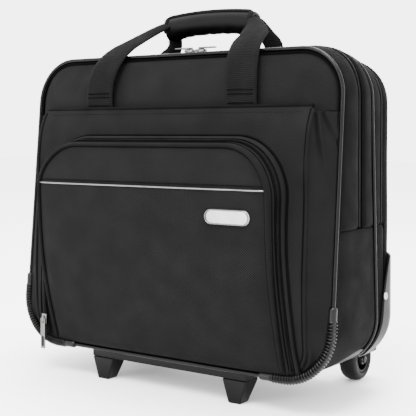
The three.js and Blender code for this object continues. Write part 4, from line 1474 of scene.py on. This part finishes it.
# Painted shade lines beside the slip pocket's bound edges and along the seams from its top corners to the
# front piping.
for word, side in SIDES:
    edge_line = inside_line(POCKET, bound_s, 1.8, pocket_face_y, -0.1) * [side, 1, 1]
    painted_shade_line(f"slip_pocket_edge_shade_{word}", edge_line, FRONT, 0.8)
    seam_x = np.linspace(POCKET_HALF - 1, HALF - 3.5, 12) * side
    top_seam = on_face(seam_x, np.linspace(316, 313, 12), front_panel_y, -0.2)
    painted_shade_line(f"gusset_top_shade_{word}", top_seam, FRONT, 0.7)


def zip_edge_out(nz):
    return 0.7 + 3.1 * step(nz, 0.1, 1.0)


# Painted shade lines along both edges of the main zip and of the laptop zip.
for name, offset, body in (("front", -ZIP_GAP - 0.3, FRONT), ("rear", ZIP_GAP + 0.3, "case")):
    painted_shade_line(f"main_zip_edge_shade_{name}", CASE.line(upper_s, ZIP_Y + offset, zip_edge_out), body, 0.7)
for name, offset in (("near", -LAPTOP_GAP), ("far", LAPTOP_GAP)):
    painted_shade_line(f"laptop_zip_edge_shade_{name}", REAR.line(rear_upper, LAPTOP_ZIP_Y + offset, -0.9), "case", 0.6)


# ---- floor, light, camera
def area_light(name, place, target, size, power, size_y=None):
    data = bpy.data.lights.new(name, "AREA")
    data.shape = "RECTANGLE"
    data.size = size
    data.size_y = size_y or size
    data.energy = power
    lamp = place_object(name, data)
    lamp.location = place
    lamp.rotation_euler = (Vector(target) - Vector(place)).to_track_quat("-Z", "Y").to_euler()


def studio():
    mat, tree, bsdf = shader("studio_floor", 0.9, 0.6)
    patches = noise_node(tree, object_coords(tree), 3, 2)
    link(tree, mix_colors(tree, patches, 0.89, 0.92), bsdf.inputs["Base Color"])
    mesh = bpy.data.meshes.new("floor")
    mesh.from_pydata([(-8, -8, 0), (8, -8, 0), (8, 8, 0), (-8, 8, 0)], [], [(0, 1, 2, 3)])
    mesh.materials.append(mat)
    place_object("floor", mesh)
    world = bpy.data.worlds.new("studio")
    bpy.context.scene.world = world
    world.use_nodes = True
    background = world.node_tree.nodes["Background"]
    background.inputs["Color"].default_value = (1, 1, 1, 1)
    background.inputs["Strength"].default_value = 5.2
    area_light("key", (0.4, -1.9, 2.9), (0, 0, 0.2), 1.3, 230)
    area_light("strip", (-1.16, -2.75, 0.9), (0.2, 0, 0.25), 0.14, 40, 1.6)
    area_light("side", (2.7, -0.5, 1.3), (0, 0, 0.2), 0.35, 9, 1.6)
    area_light("top", (0.1, 0.3, 2.6), (0, 0, 0.2), 1.2, 110)


def camera():
    data = bpy.data.cameras.new("camera")
    data.sensor_width = 36
    data.lens = 83.4
    data.shift_x = -0.0131
    data.shift_y = -0.1456
    obj = place_object("camera", data)
    obj.location = (0.6632, -0.9366, 0.2915)
    obj.rotation_euler = (math.radians(90 - 0.873), 0, math.radians(34.74))
    bpy.context.scene.camera = obj


studio()
camera()
